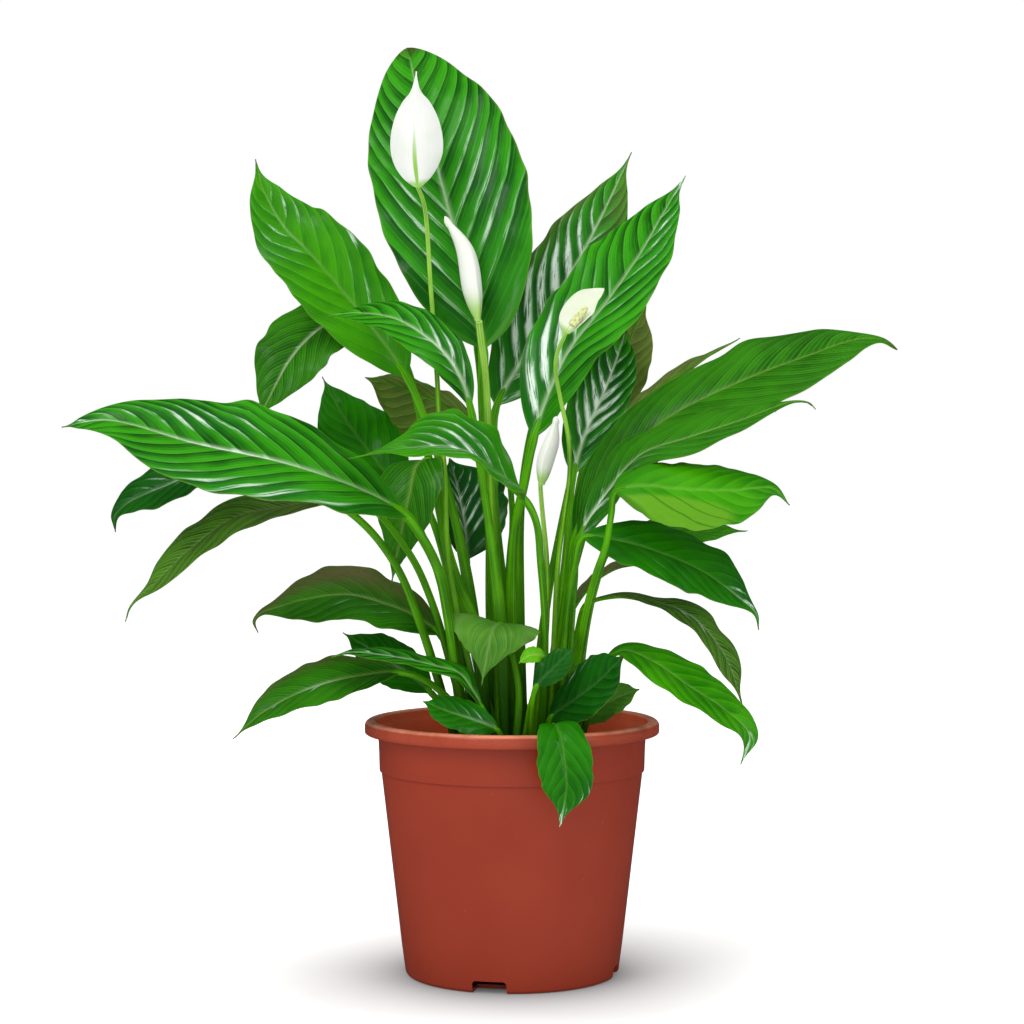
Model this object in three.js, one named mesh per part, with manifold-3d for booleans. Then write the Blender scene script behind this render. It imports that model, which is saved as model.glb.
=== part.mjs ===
// A peace lily in its round nursery pot. Millimetres, +Z up, the viewer on the -Y side,
// the origin at the middle of the pot's flat base.
import * as THREE from "three";
import { mergeVertices } from "three/addons/utils/BufferGeometryUtils.js";
import Module from "manifold-3d";

const wasm = await Module();
wasm.setup();

// ---------------------------------------------------------------- driving dimensions

const GAP = 0.3; // between pieces that touch

const POT = {
  height: 164,
  rimRadius: 95,
  mouthRadius: 87.5,
  lipHeight: 8.4,
  lipRounding: 3,
  neckRadius: 86.4, // the wall just under the rolled rim
  ledgeDrop: 32, // from the rim down to the stacking ledge
  ledgeStep: 1,
  bevel: 1, // on the mouth's edge and on the ledge
  footRadius: 69,
  footRounding: 3,
  wall: 2.2,
  floor: 2.5,
  sides: 48,
};
const NOTCH = {
  width: 22,
  height: 8,
  depth: 9,
  rounding: 2.5,
  bearings: [-102, -12, 78, 168], // degrees from +X
};
const SOIL = {
  crown: 150.5, // height of the middle of the mound
  crownDrop: 2, // from there to the edge of the nearly level middle
  plateau: 34, // radius of that middle
  shoulder: 58, // radius where the mound starts to level out again
  shoulderRise: 7, // height of that place over the edge
  edge: 134, // height where the mound meets the wall
  waist: 120, // height up to which the packed mix follows the taper of the wall
  rootGap: 4, // how much smaller the packed mix is at the floor
  slack: 0.4, // more room to the wall, because both are many-sided
  sides: 24,
};
const SOCKET = { floor: 143.7, depth: 24, sides: 6 };
const STEM_FOOT = 144; // every stem starts this high, a little way down in the soil

const LEAF = {
  thickness: 1.3, // between midrib and margin
  margin: 0.7,
  ribEnd: 0.5, // half-thickness of the midrib at the tip
  tip: 0.8, // half-width of the blunt end
  opening: 0.12, // share of the blade in which the stalk's section opens out flat
  neck: 0.55, // depth of the section there, as a share of the stalk's radius
  wings: [0.52, 1], // shares of the half-width where the section has points
  rows: 8,
};
const LEAF_STALK = {
  rows: 4,
  taper: 0.8, // width at the blade over width at the soil
  round: [0.84, 0.4], // depth of the section at the wing points, over its radius
  sheathEnd: 1.3, // the sheath ends at one part in this of the stalk's length
};
const SPATHE = {
  thickness: 1,
  margin: 0.6,
  tip: 0.8, // half-width of the blunt ends
  ribSwell: 1.6, // how much thicker the back is along the midrib
  wrapFrom: 5, // half-width from which on the hood has its full bend
  wings: [0.34, 0.67, 1],
  rows: 8,
};
const STALK = { sides: 6, rowsPerPoint: 1.4, foot: 1.15, head: 0.85 }; // ends over mean radius
const SPADIX = {
  sides: 8,
  // share of the length, share of the radius
  profile: [[0, 0.6], [0.12, 0.95], [0.5, 1], [0.82, 0.85], [0.95, 0.5], [1, 0.2]],
};

// ---------------------------------------------------------------- finishes

const finish = (color, roughness) =>
  new THREE.MeshStandardMaterial({ color, roughness, metalness: 0 });
const FINISH = {
  pot: finish("#963c2d", 0.42),
  soil: finish("#33241a", 0.95),
  leaf: finish("#2d7a18", 0.3),
  stalk: finish("#74a83a", 0.45),
  spathe: finish("#f0f2ea", 0.55),
  spadix: finish("#cfd39a", 0.7),
};

// ---------------------------------------------------------------- leaves
// stalk: from the soil to the blade. rib: the midrib, from the blade's base to its tip.
// face: which way the upper side looks, at the blade's base and at its tip.
// width: across the flattened blade. widest: how far along. full: how blunt the outline is.
// drip: how much of the width a drawn-out tip loses. skew: how much wider the half on the
// right of the heading is than the mean.
// fold: degrees that each half is folded up from the midrib. curl: how much further it
// turns by the margin. wave: height of the margin's waves, as a share of the half-width.

const LEAVES = {
  // left side of the picture
  leaf_left_big: {
    stalk: [[-28, -28, STEM_FOOT], [-33, -38, 184], [-40, -47, 236], [-46, -55, 264], [-58, -64, 288]],
    rib: [
      [-65, -70, 298], [-90, -85, 313], [-136, -103, 330], [-189, -112, 342],
      [-243, -108, 356], [-272, -100, 352],
    ],
    face: [[0, -0.6, 0.8], [0.1, -0.75, 0.65]],
    width: 82, widest: 0.45, full: 0.75, drip: 0.45, skew: -0.08, fold: 10, stem: 8, sheath: 0.7,
  },
  leaf_left_upper: {
    stalk: [[-13, 2, STEM_FOOT], [-30, 8, 260], [-44, 12, 320], [-58, 14, 362]],
    rib: [
      [-69, 15, 386], [-104, 20, 433], [-134, 28, 468], [-149, 33, 483],
      [-163, 38, 507], [-172, 44, 529],
    ],
    face: [[0, -0.85, 0.4], [0, -0.9, 0.4]],
    width: 60, widest: 0.45, full: 0.7, drip: 0.4, fold: 12, stem: 6, sheath: 0.4,
  },
  leaf_left_arching: {
    stalk: [[-4, -19, STEM_FOOT], [-8, -20, 235], [-16, -22, 300], [-23, -24, 345]],
    rib: [
      [-26, -25, 363], [-31, -31, 380], [-42, -38, 398], [-57, -42, 411],
      [-73, -40, 420], [-96, -30, 424], [-120, -15, 423],
    ],
    face: [[0, -0.8, 0.45], [0, -0.45, 0.9]],
    width: 36, widest: 0.5, full: 1.1, drip: 0.3, fold: 4, stem: 6, sheath: 0.5,
  },
  leaf_left_hanging: {
    stalk: [[-22, 2, STEM_FOOT], [-38, 14, 250], [-54, 26, 330], [-72, 42, 398]],
    rib: [
      [-89, 44, 418], [-117, 37, 422], [-132, 30, 412], [-145, 22, 396],
      [-155, 17, 377], [-165, 12, 356],
    ],
    face: [[0, -0.6, 0.8], [-0.3, -0.9, 0.2]],
    width: 54, widest: 0.45, full: 0.8, drip: 0.4, fold: 6, stem: 6, sheath: 0.4,
  },
  leaf_left_dark_tip: {
    stalk: [
      [-24, -17, STEM_FOOT], [-36, -24, 190], [-50, -32, 240], [-64, -40, 272], [-92, -46, 306],
      [-130, -46, 328],
    ],
    rib: [
      [-156, -47, 334], [-185, -53, 328], [-206, -57, 316], [-225, -60, 303], [-247, -61, 287],
    ],
    face: [[0, -0.5, 0.85], [0, -0.6, 0.8]],
    width: 42, widest: 0.5, full: 0.8, drip: 0.4, fold: 6, stem: 5, sheath: 0.3,
  },
  leaf_left_drooping: {
    stalk: [[-34, -17, STEM_FOOT], [-42, -28, 176], [-57, -36, 226], [-72, -42, 264], [-93, -48, 292]],
    rib: [
      [-113, -50, 305], [-146, -55, 302], [-172, -58, 296], [-199, -60, 277],
      [-219, -58, 254], [-235, -55, 231],
    ],
    face: [[0, -0.45, 0.9], [-0.5, -0.6, 0.6]],
    width: 38, widest: 0.45, full: 0.75, drip: 0.5, fold: 6, stem: 6, sheath: 0.3,
  },
  leaf_left_lower: {
    stalk: [[-28, -7, STEM_FOOT], [-33, -6, 180], [-38, -5, 205]],
    rib: [
      [-46, -5, 219], [-62, -8, 231], [-81, -10, 239], [-104, -12, 245],
      [-132, -12, 242], [-151, -10, 236], [-165, -8, 226],
    ],
    face: [[0, -0.6, 0.8], [0, -0.6, 0.8]],
    width: 54, widest: 0.45, full: 0.8, drip: 0.4, fold: 4, stem: 6, sheath: 0.3,
  },
  leaf_left_shaded: {
    stalk: [[-32, 3, STEM_FOOT], [-40, 4, 165]],
    rib: [[-53, 5, 181], [-67, 8, 192], [-84, 10, 203], [-110, 12, 219]],
    face: [[0, -0.7, 0.7], [0, -0.7, 0.7]],
    width: 36, widest: 0.45, full: 0.8, drip: 0.3, fold: 4, stem: 5, sheath: 0.2,
  },
  leaf_left_narrow: {
    stalk: [[-14, -37, STEM_FOOT], [-16, -50, 163]],
    rib: [
      [-18, -56, 176], [-25, -58, 189], [-33, -58, 199], [-46, -58, 203], [-62, -58, 207],
      [-80, -58, 210], [-100, -58, 212], [-114, -58, 209],
    ],
    face: [[0.1, -0.3, 0.95], [0, -0.25, 0.95]],
    width: 26, widest: 0.5, full: 0.8, drip: 0.3, fold: 4, stem: 5, sheath: 0.2,
  },
  leaf_left_lowest: {
    stalk: [[-24, -37, STEM_FOOT], [-34, -50, 175], [-52, -46, 192]],
    rib: [
      [-70, -40, 198], [-95, -42, 196], [-116, -48, 192], [-138, -54, 184],
      [-157, -58, 173], [-174, -60, 158],
    ],
    face: [[0, -0.55, 0.85], [-0.2, -0.6, 0.8]],
    width: 42, widest: 0.42, full: 0.8, drip: 0.5, fold: 8, stem: 5, sheath: 0.2,
  },
  leaf_left_back: {
    stalk: [[-17, 12, STEM_FOOT], [-36, 24, 210], [-54, 38, 270]],
    rib: [[-74, 50, 309], [-94, 60, 334], [-115, 78, 362], [-129, 92, 387]],
    face: [[0, -0.8, 0.6], [0, -0.9, 0.4]],
    width: 52, widest: 0.4, full: 0.75, drip: 0.35, fold: 6, stem: 5, sheath: 0.3,
  },
  leaf_left_olive: {
    stalk: [[-2, 22, STEM_FOOT], [-3, 52, 230], [0, 84, 300], [-8, 100, 340]],
    rib: [
      [-24, 102, 354], [-45, 104, 368], [-66, 106, 377], [-83, 108, 383], [-101, 110, 387],
    ],
    face: [[0, 0.59, 0.81], [0, 0.59, 0.81]],
    width: 76, widest: 0.5, full: 0.8, drip: 0.4, fold: -26, stem: 5, sheath: 0.3,
  },
  // middle
  leaf_middle_tall: {
    stalk: [[-4, 1, STEM_FOOT], [-10, 3, 227], [-12, 3, 260], [-16, 4, 323], [-19, 6, 375]],
    rib: [
      [-19, 8, 404], [-31, 14, 455], [-46, 28, 512], [-61, 50, 568], [-70, 70, 606],
    ],
    face: [[-0.1, -1, 0.1], [-0.1, -1, 0.3]],
    width: 102, widest: 0.48, full: 0.62, drip: 0.1, skew: 0.1, fold: 8, stem: 8, sheath: 0.2,
  },
  leaf_middle_arched: {
    stalk: [[19, -27, STEM_FOOT], [21, -50, 227], [18, -68, 268], [15, -79, 294]],
    rib: [
      [8, -85, 308], [-10, -98, 324], [-25, -106, 335], [-43, -112, 340],
      [-61, -114, 339], [-79, -112, 337], [-99, -108, 333],
    ],
    face: [[0, -0.5, 0.87], [0, -0.5, 0.87]],
    width: 68, widest: 0.34, full: 0.8, drip: 0.4, fold: 18, stem: 6, sheath: 0.4,
  },
  leaf_middle_silver: {
    stalk: [[-7, 12, STEM_FOOT], [-24, 32, 200], [-30, 46, 245]],
    rib: [[-30, 54, 265], [-32, 58, 289], [-36, 62, 309], [-42, 66, 332]],
    face: [[0.55, -0.8, 0.1], [0.5, -0.8, 0.3]],
    width: 64, widest: 0.5, full: 0.7, drip: 0.3, fold: 24, stem: 5, sheath: 0.2,
  },
  leaf_middle_folded: {
    stalk: [[-17, -9, STEM_FOOT], [-22, -9, 215], [-36, -6, 254], [-44, -2, 285], [-47, 4, 318]],
    rib: [
      [-54, -6, 331], [-61, -19, 327], [-65, -27, 309], [-70, -29, 286], [-77, -28, 250],
    ],
    face: [[-0.3, -0.3, 0.9], [-0.1, -1, 0]],
    width: 46, widest: 0.3, full: 0.7, drip: 0.4, fold: 4, stem: 7, sheath: 0.7,
  },
  // right side
  leaf_right_striped: {
    stalk: [[6, 3, STEM_FOOT], [-4, 8, 230], [-11, 18, 300], [-12, 28, 345]],
    rib: [
      [-10, 35, 367], [8, 45, 399], [25, 55, 431], [44, 66, 463], [62, 78, 498], [81, 92, 539],
    ],
    face: [[0, -1, 0.2], [-0.1, -1, 0.4]],
    width: 62, widest: 0.42, full: 0.7, drip: 0.4, fold: 8, stem: 6, sheath: 0.3,
  },
  leaf_right_upper: {
    stalk: [[2, -8, STEM_FOOT], [-1, -10, 228], [1, -11, 283], [8, -12, 317]],
    rib: [
      [14, -10, 346], [25, -5, 377], [37, 2, 402], [61, 12, 433], [84, 25, 466],
      [99, 38, 492], [115, 52, 519],
    ],
    face: [[-0.45, -0.85, 0.3], [-0.4, -0.85, 0.4]],
    width: 66, widest: 0.46, full: 0.75, drip: 0.35, fold: 16, stem: 7, sheath: 0.4,
  },
  leaf_right_streaked: {
    stalk: [[16, 3, STEM_FOOT], [28, 4, 210], [36, 4, 285]],
    rib: [[40, 5, 323], [48, 12, 349], [60, 20, 375], [69, 28, 398], [75, 36, 416]],
    face: [[-0.1, -1, 0.2], [-0.1, -1, 0.4]],
    width: 38, widest: 0.5, full: 0.65, drip: 0.2, fold: 10, stem: 5, sheath: 0.3,
  },
  leaf_right_olive: {
    stalk: [[12, 13, STEM_FOOT], [22, 38, 230], [34, 52, 295]],
    rib: [[43, 55, 332], [58, 68, 369], [75, 80, 403], [91, 92, 435]],
    face: [[0.3, 0.8, 0.4], [0.3, 0.8, 0.5]],
    width: 46, widest: 0.5, full: 0.65, drip: 0.2, fold: -6, wave: 0.12, stem: 5, sheath: 0.3,
  },
  leaf_right_slender: {
    stalk: [[22, 13, STEM_FOOT], [30, 30, 220], [40, 34, 290]],
    rib: [
      [49, 35, 332], [69, 40, 354], [92, 46, 375], [116, 52, 392], [134, 57, 402], [152, 60, 412],
    ],
    face: [[-0.4, 0.3, 0.9], [-0.3, 0.3, 0.9]],
    width: 34, widest: 0.45, full: 0.75, drip: 0.4, fold: 0, wave: 0.08, stem: 5, sheath: 0.3,
  },
  leaf_right_big: {
    stalk: [[21, -7, STEM_FOOT], [30, -16, 210], [36, -22, 255]],
    rib: [
      [39, -25, 279], [56, -28, 317], [78, -32, 342], [101, -35, 360], [151, -40, 384],
      [186, -40, 397], [220, -36, 406], [243, -32, 399],
    ],
    face: [[-0.4, -0.7, 0.6], [0, -0.5, 0.87]],
    width: 72, widest: 0.55, full: 0.75, drip: 0.45, fold: 6, stem: 7, sheath: 0.5,
  },
  leaf_right_second: {
    stalk: [[30, -8, STEM_FOOT], [35, -26, 200], [39, -38, 255]],
    rib: [
      [41, -46, 280], [59, -53, 311], [80, -64, 335], [110, -76, 346], [140, -80, 356],
      [168, -80, 365], [186, -78, 363],
    ],
    face: [[-0.4, -0.5, 0.75], [0, -0.4, 0.9]],
    width: 52, widest: 0.42, full: 0.75, drip: 0.4, fold: 6, stem: 6, sheath: 0.5,
  },
  leaf_right_bright: {
    stalk: [
      [38, -28, STEM_FOOT], [41, -44, 201], [45, -68, 235], [51, -88, 262], [57, -97, 281],
      [60, -102, 300],
    ],
    rib: [
      [62, -108, 313], [77, -111, 317], [101, -112, 315], [131, -111, 314], [157, -110, 315],
      [167, -108, 305],
    ],
    face: [[-0.1, -0.75, 0.66], [0, -0.75, 0.66]],
    width: 54, widest: 0.42, full: 0.7, drip: 0.4, fold: -20, stem: 5, sheath: 0.2,
  },
  leaf_right_glossy: {
    stalk: [[33, -18, STEM_FOOT], [32, -38, 210], [35, -50, 246], [39, -59, 266]],
    rib: [
      [44, -67, 284], [67, -75, 282], [91, -81, 275], [116, -82, 264], [136, -84, 249],
      [151, -84, 228],
    ],
    face: [[0.1, -0.6, 0.8], [0.4, -0.6, 0.7]],
    width: 54, widest: 0.45, full: 0.75, drip: 0.4, fold: 4, stem: 5, sheath: 0.2,
  },
  leaf_right_hidden: {
    stalk: [[44, 2, STEM_FOOT], [45, 2, 200], [54, 0, 250]],
    rib: [[64, -2, 275], [89, -5, 284], [121, -8, 285], [151, -10, 286]],
    face: [[0, -0.4, 0.9], [0, -0.4, 0.9]],
    width: 38, widest: 0.45, full: 0.75, drip: 0.4, fold: 4, stem: 5, sheath: 0.2,
  },
  leaf_right_brown: {
    stalk: [[30, 5, STEM_FOOT], [31, 14, 190]],
    rib: [[34, 18, 223], [51, 24, 249], [68, 27, 260], [89, 30, 263]],
    face: [[-0.5, 0.2, 0.85], [-0.2, 0.2, 0.95]],
    width: 28, widest: 0.5, full: 0.75, drip: 0.3, fold: 12, stem: 5, sheath: 0.2,
  },
  leaf_right_twisted: {
    stalk: [[36, -4, STEM_FOOT], [38, -8, 190], [42, -8, 222]],
    rib: [
      [48, -8, 239], [67, -14, 245], [87, -21, 242], [107, -28, 236], [121, -34, 226],
      [135, -38, 206], [145, -40, 178],
    ],
    face: [[-0.2, 0.1, 0.95], [0.6, -0.6, 0.5]],
    width: 32, widest: 0.6, full: 0.75, drip: 0.5, fold: 4, wave: 0.08, stem: 5, sheath: 0.2,
  },
  leaf_right_low: {
    stalk: [[42, -19, STEM_FOOT], [49, -34, 175], [54, -44, 195]],
    rib: [
      [58, -50, 206], [69, -56, 213], [88, -72, 207], [109, -84, 193], [128, -92, 181],
      [144, -96, 165], [139, -97, 147],
    ],
    face: [[0.1, -0.5, 0.85], [0.5, -0.6, 0.6]],
    width: 38, widest: 0.5, full: 0.8, drip: 0.4, fold: 6, stem: 5, sheath: 0.2,
  },
  leaf_right_broad: {
    stalk: [[28, -30, STEM_FOOT], [24, -38, 158]],
    rib: [[24, -44, 169], [37, -58, 181], [54, -74, 196], [68, -86, 212]],
    face: [[-0.3, -0.8, 0.5], [-0.3, -0.8, 0.5]],
    width: 38, widest: 0.55, full: 0.65, drip: 0.2, fold: 4, stem: 5, sheath: 0,
  },
  leaf_right_mottled: {
    stalk: [[47, -8, STEM_FOOT], [45, -11, 154]],
    rib: [[44, -14, 163], [60, -20, 176], [81, -26, 186]],
    face: [[0, -0.7, 0.7], [0, -0.7, 0.7]],
    width: 26, widest: 0.5, full: 0.7, drip: 0.2, fold: 4, stem: 4, sheath: 0,
  },
  leaf_low_over_rim: {
    stalk: [[22, -39, STEM_FOOT], [23, -58, 158]],
    rib: [
      [25, -78, 169], [27, -90, 170], [30, -99, 162], [32, -102, 149], [33, -103, 134],
      [29, -102, 110],
    ],
    face: [[0, -0.3, 0.95], [0, -1, 0]],
    width: 34, widest: 0.5, full: 0.7, drip: 0.4, fold: 6, stem: 4, sheath: 0,
  },
  leaf_low_pale: {
    stalk: [[2, -36, STEM_FOOT], [4, -32, 190]],
    rib: [[0, -36, 227], [-8, -47, 225], [-14, -54, 208], [-19, -56, 191]],
    face: [[0, -0.3, 0.95], [0, -1, 0.2]],
    width: 54, widest: 0.28, full: 0.5, drip: 0.2, fold: 4, stem: 5, sheath: 0.2,
  },
  leaf_low_stub: {
    stalk: [[6, -43, STEM_FOOT], [12, -52, 180]],
    rib: [[20, -63, 209], [12, -66, 211], [4, -66, 206]],
    face: [[0, -0.8, 0.6], [0, -0.8, 0.6]],
    width: 12, widest: 0.4, full: 0.7, drip: 0.1, fold: 4, stem: 4, sheath: 0,
  },
  leaf_low_small: {
    stalk: [[14, -39, STEM_FOOT], [12, -60, 170]],
    rib: [[15, -70, 192], [26, -71, 204], [38, -72, 216]],
    face: [[0, -0.9, 0.4], [0, -0.9, 0.4]],
    width: 18, widest: 0.5, full: 0.7, drip: 0.2, fold: 4, stem: 4, sheath: 0,
  },
  leaf_low_left: {
    stalk: [[-6, -41, STEM_FOOT], [-6, -56, 154]],
    rib: [[-9, -63, 164], [-25, -68, 171.5], [-41, -71, 177], [-55, -72, 183]],
    face: [[0, -0.8, 0.6], [0, -0.8, 0.6]],
    width: 24, widest: 0.5, full: 0.7, drip: 0.1, fold: 4, stem: 4, sheath: 0,
  },
  // behind, seen from the back and the sides
  leaf_back_tall: {
    stalk: [[-12, 22, STEM_FOOT], [-14, 46, 230], [-15, 76, 300], [-20, 88, 370]],
    rib: [[-24, 95, 410], [-32, 108, 460], [-44, 128, 510], [-50, 150, 545]],
    face: [[0, -0.95, 0.3], [0, -0.6, 0.8]],
    width: 58, widest: 0.45, full: 0.75, drip: 0.4, fold: 8, stem: 6, sheath: 0.3,
  },
  leaf_back_right: {
    stalk: [[8, 24, STEM_FOOT], [5, 48, 230], [6, 66, 300], [12, 80, 345]],
    rib: [[20, 90, 372], [38, 110, 410], [58, 135, 445], [76, 160, 470]],
    face: [[-0.3, -0.8, 0.4], [-0.3, -0.7, 0.7]],
    width: 48, widest: 0.45, full: 0.75, drip: 0.4, fold: 8, stem: 6, sheath: 0.3,
  },
  leaf_back_left_spread: {
    stalk: [[-22, 24, STEM_FOOT], [-32, 46, 200], [-44, 60, 260], [-54, 66, 292]],
    rib: [[-62, 72, 305], [-90, 86, 316], [-130, 105, 322], [-165, 128, 320], [-192, 145, 312]],
    face: [[0.1, -0.2, 1], [-0.1, 0, 1]],
    width: 46, widest: 0.45, full: 0.75, drip: 0.5, fold: 8, stem: 6, sheath: 0.3,
  },
  leaf_back_right_spread: {
    stalk: [[20, 24, STEM_FOOT], [32, 44, 220], [46, 56, 275]],
    rib: [[54, 60, 300], [85, 82, 330], [125, 108, 352], [160, 130, 362], [185, 145, 364]],
    face: [[-0.1, -0.2, 1], [0.1, 0, 1]],
    width: 46, widest: 0.45, full: 0.75, drip: 0.5, fold: 8, stem: 6, sheath: 0.3,
  },
};

// ---------------------------------------------------------------- curves and sections

const vec = ([x, y, z]) => new THREE.Vector3(x, y, z);
const radians = THREE.MathUtils.degToRad;
const lerp = THREE.MathUtils.lerp;
const smooth = THREE.MathUtils.smoothstep;

/** A smooth line through the given points, read by its length. */
class Route {
  constructor(points) {
    this.curve = new THREE.CatmullRomCurve3(points.map(vec), false, "centripetal");
    this.curve.arcLengthDivisions = 24 * points.length;
    this.length = this.curve.getLength();
    this.lengths = this.curve.getLengths();
    this.last = points.length - 1;
  }
  /** The length of the line up to one of its points. */
  lengthTo(index) {
    return this.lengths[Math.round((index / this.last) * (this.lengths.length - 1))];
  }
  at(distance) {
    return this.curve.getPointAt(THREE.MathUtils.clamp(distance / this.length, 0, 1));
  }
  heading(distance) {
    return this.curve.getTangentAt(THREE.MathUtils.clamp(distance / this.length, 0, 1));
  }
}

/** The outline's width at a share v of the length, as a share of the widest place. */
function outline(v, { widest, full, drip }) {
  const share = THREE.MathUtils.clamp(v, 0, 1);
  const tip = (full * (1 - widest)) / widest;
  const body = (share / widest) ** full * ((1 - share) / (1 - widest)) ** tip;
  return body * (1 - drip * smooth(share, 0.65, 1));
}

/** How far a bent half reaches sideways and upwards at a share s of its width. */
function bentHalf(width, s, fold, curl) {
  if (Math.abs(curl) < 1e-3) return [width * s * Math.cos(fold), width * s * Math.sin(fold)];
  const radius = width / curl;
  const turned = fold + curl * s;
  return [
    radius * (Math.sin(turned) - Math.sin(fold)),
    radius * (Math.cos(fold) - Math.cos(turned)),
  ];
}

/** Closes a row of equal rings of points into one solid. */
function loft(rings) {
  const around = rings[0].length;
  const half = around / 2;
  const flat = rings.flat().flatMap((p) => p.toArray());
  const faces = [];
  for (let row = 0; row + 1 < rings.length; row++) {
    for (let i = 0; i < around; i++) {
      const a = row * around + i;
      const b = row * around + ((i + 1) % around);
      // A blade's upper and lower skins are split along the same diagonals, so they stay apart.
      const inward = i % half > (half - 1) / 2;
      const [left, right] = inward ? [b, a + around] : [a, b + around];
      faces.push(a, b, right, left, b + around, a + around);
    }
  }
  for (const [row, flip] of [[0, true], [rings.length - 1, false]]) {
    const centre = flat.length / 3;
    const middle = rings[row].reduce((sum, p) => sum.add(p), new THREE.Vector3());
    flat.push(...middle.divideScalar(around).toArray());
    for (let i = 0; i < around; i++) {
      const a = row * around + i;
      const b = row * around + ((i + 1) % around);
      faces.push(...(flip ? [b, a, centre] : [a, b, centre]));
    }
  }
  const geometry = new THREE.BufferGeometry();
  geometry.setAttribute("position", new THREE.Float32BufferAttribute(flat, 3));
  geometry.setIndex(faces);
  return facingOut(geometry);
}

/** Turns every face over where the solid was wound inside out. */
function facingOut(geometry) {
  const at = geometry.getAttribute("position");
  const index = geometry.getIndex();
  const corner = (i) => new THREE.Vector3().fromBufferAttribute(at, index.getX(i));
  let volume = 0;
  for (let i = 0; i < index.count; i += 3) {
    volume += corner(i).dot(corner(i + 1).cross(corner(i + 2)));
  }
  if (volume < 0) {
    for (let i = 0; i < index.count; i += 3) {
      const first = index.getX(i);
      index.setX(i, index.getX(i + 1));
      index.setX(i + 1, first);
    }
  }
  return geometry;
}

/** The ring of points around a blade or a stalk at one place along it. */
function ring(centre, side, normal, half, section) {
  const { wings, fold, curl, lift, ribTop, ribUnder, thick, skew = 0 } = section;
  const edges = { 1: [], "-1": [] };
  for (const sign of [1, -1]) {
    wings.forEach((s, i) => {
      const [across, up] = bentHalf(half * (1 + sign * skew), s, fold, curl);
      const turn = fold + curl * s;
      const at = centre.clone().addScaledVector(side, sign * across);
      at.addScaledVector(normal, up + lift(s, sign));
      const out = normal.clone().multiplyScalar(Math.cos(turn));
      out.addScaledVector(side, -sign * Math.sin(turn));
      edges[sign].push([
        at.clone().addScaledVector(out, thick[i]),
        at.clone().addScaledVector(out, -thick[i]),
      ]);
    });
  }
  return [
    centre.clone().addScaledVector(normal, ribTop),
    ...edges[1].map(([top]) => top),
    ...edges[1].map(([, under]) => under).reverse(),
    centre.clone().addScaledVector(normal, -ribUnder),
    ...edges[-1].map(([, under]) => under),
    ...edges[-1].map(([top]) => top).reverse(),
  ];
}

/** The upper side's direction at a share of the way along, square to the heading. */
function facing(face, share, heading) {
  const wanted = vec(face[0]).normalize().lerp(vec(face[1]).normalize(), share);
  return squareTo(wanted, heading);
}

function squareTo(direction, heading) {
  return direction.clone().addScaledVector(heading, -direction.dot(heading)).normalize();
}

// ---------------------------------------------------------------- pieces

/** One leaf: stalk with its sheath, midrib and blade, grown as one piece. */
function leafGeometry(plan) {
  const route = new Route([...plan.stalk, ...plan.rib]);
  const bladeStart = route.lengthTo(plan.stalk.length);
  const bladeLength = route.length - bladeStart;
  const fold = radians(plan.fold);
  const stemRadius = plan.stem / 2;
  const rings = [];

  const blade = Array.from({ length: LEAF.rows + 1 }, (_, i) => {
    const v = (1 - Math.cos((Math.PI * i) / LEAF.rows)) / 2;
    const heading = route.heading(bladeStart + v * bladeLength);
    return { v, heading, centre: route.at(bladeStart + v * bladeLength) };
  });
  for (const { v, heading, centre } of blade) {
    const normal = facing(plan.face, v, heading);
    const side = new THREE.Vector3().crossVectors(heading, normal);
    const spread = smooth(v, 0, LEAF.opening);
    const neck = stemRadius * LEAF.neck;
    const half = Math.max(
      (plan.width / 2) * outline(v, plan),
      lerp(stemRadius * LEAF_STALK.taper, LEAF.tip, Math.min(1, 3 * v)),
    );
    const wave = (s, sign) =>
      (plan.wave ?? 0) * half * s * s * Math.sin(2 * Math.PI * (3 * v + 0.25 * sign));
    rings.push(ring(centre, side, normal, half, {
      wings: LEAF.wings,
      fold: fold * spread,
      curl: 0,
      skew: plan.skew,
      lift: wave,
      ribTop: lerp(neck, LEAF.thickness / 2, spread),
      ribUnder: lerp(neck, LEAF.ribEnd, Math.sqrt(v)),
      thick: [lerp(neck, LEAF.thickness / 2, spread), lerp(neck / 2, LEAF.margin / 2, spread)],
    }));
  }

  let normal = facing(plan.face, 0, blade[0].heading);
  for (let row = LEAF_STALK.rows - 1; row >= 0; row--) {
    const share = row / LEAF_STALK.rows;
    const heading = route.heading(share * bladeStart);
    normal = squareTo(normal, heading);
    const side = new THREE.Vector3().crossVectors(heading, normal);
    const along = Math.min(1, share * LEAF_STALK.sheathEnd);
    const sheath = 1 + plan.sheath * Math.sin(Math.PI * along) ** 2;
    const radius = stemRadius * lerp(1, LEAF_STALK.taper, share);
    rings.unshift(ring(route.at(share * bladeStart), side, normal, radius * sheath, {
      wings: LEAF.wings,
      fold: 0,
      curl: 0,
      lift: () => 0,
      ribTop: radius,
      ribUnder: radius,
      thick: LEAF_STALK.round.map((depth) => radius * depth),
    }));
  }
  return loft(rings);
}

// ---------------------------------------------------------------- flowers
// stalk: from the soil to the flower. rib: the back of the hood from its base to its tip.
// face: which way the open side looks. fold and curl: how far the hood wraps around.
// spike: where the pale spike starts and ends inside the hood.

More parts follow.
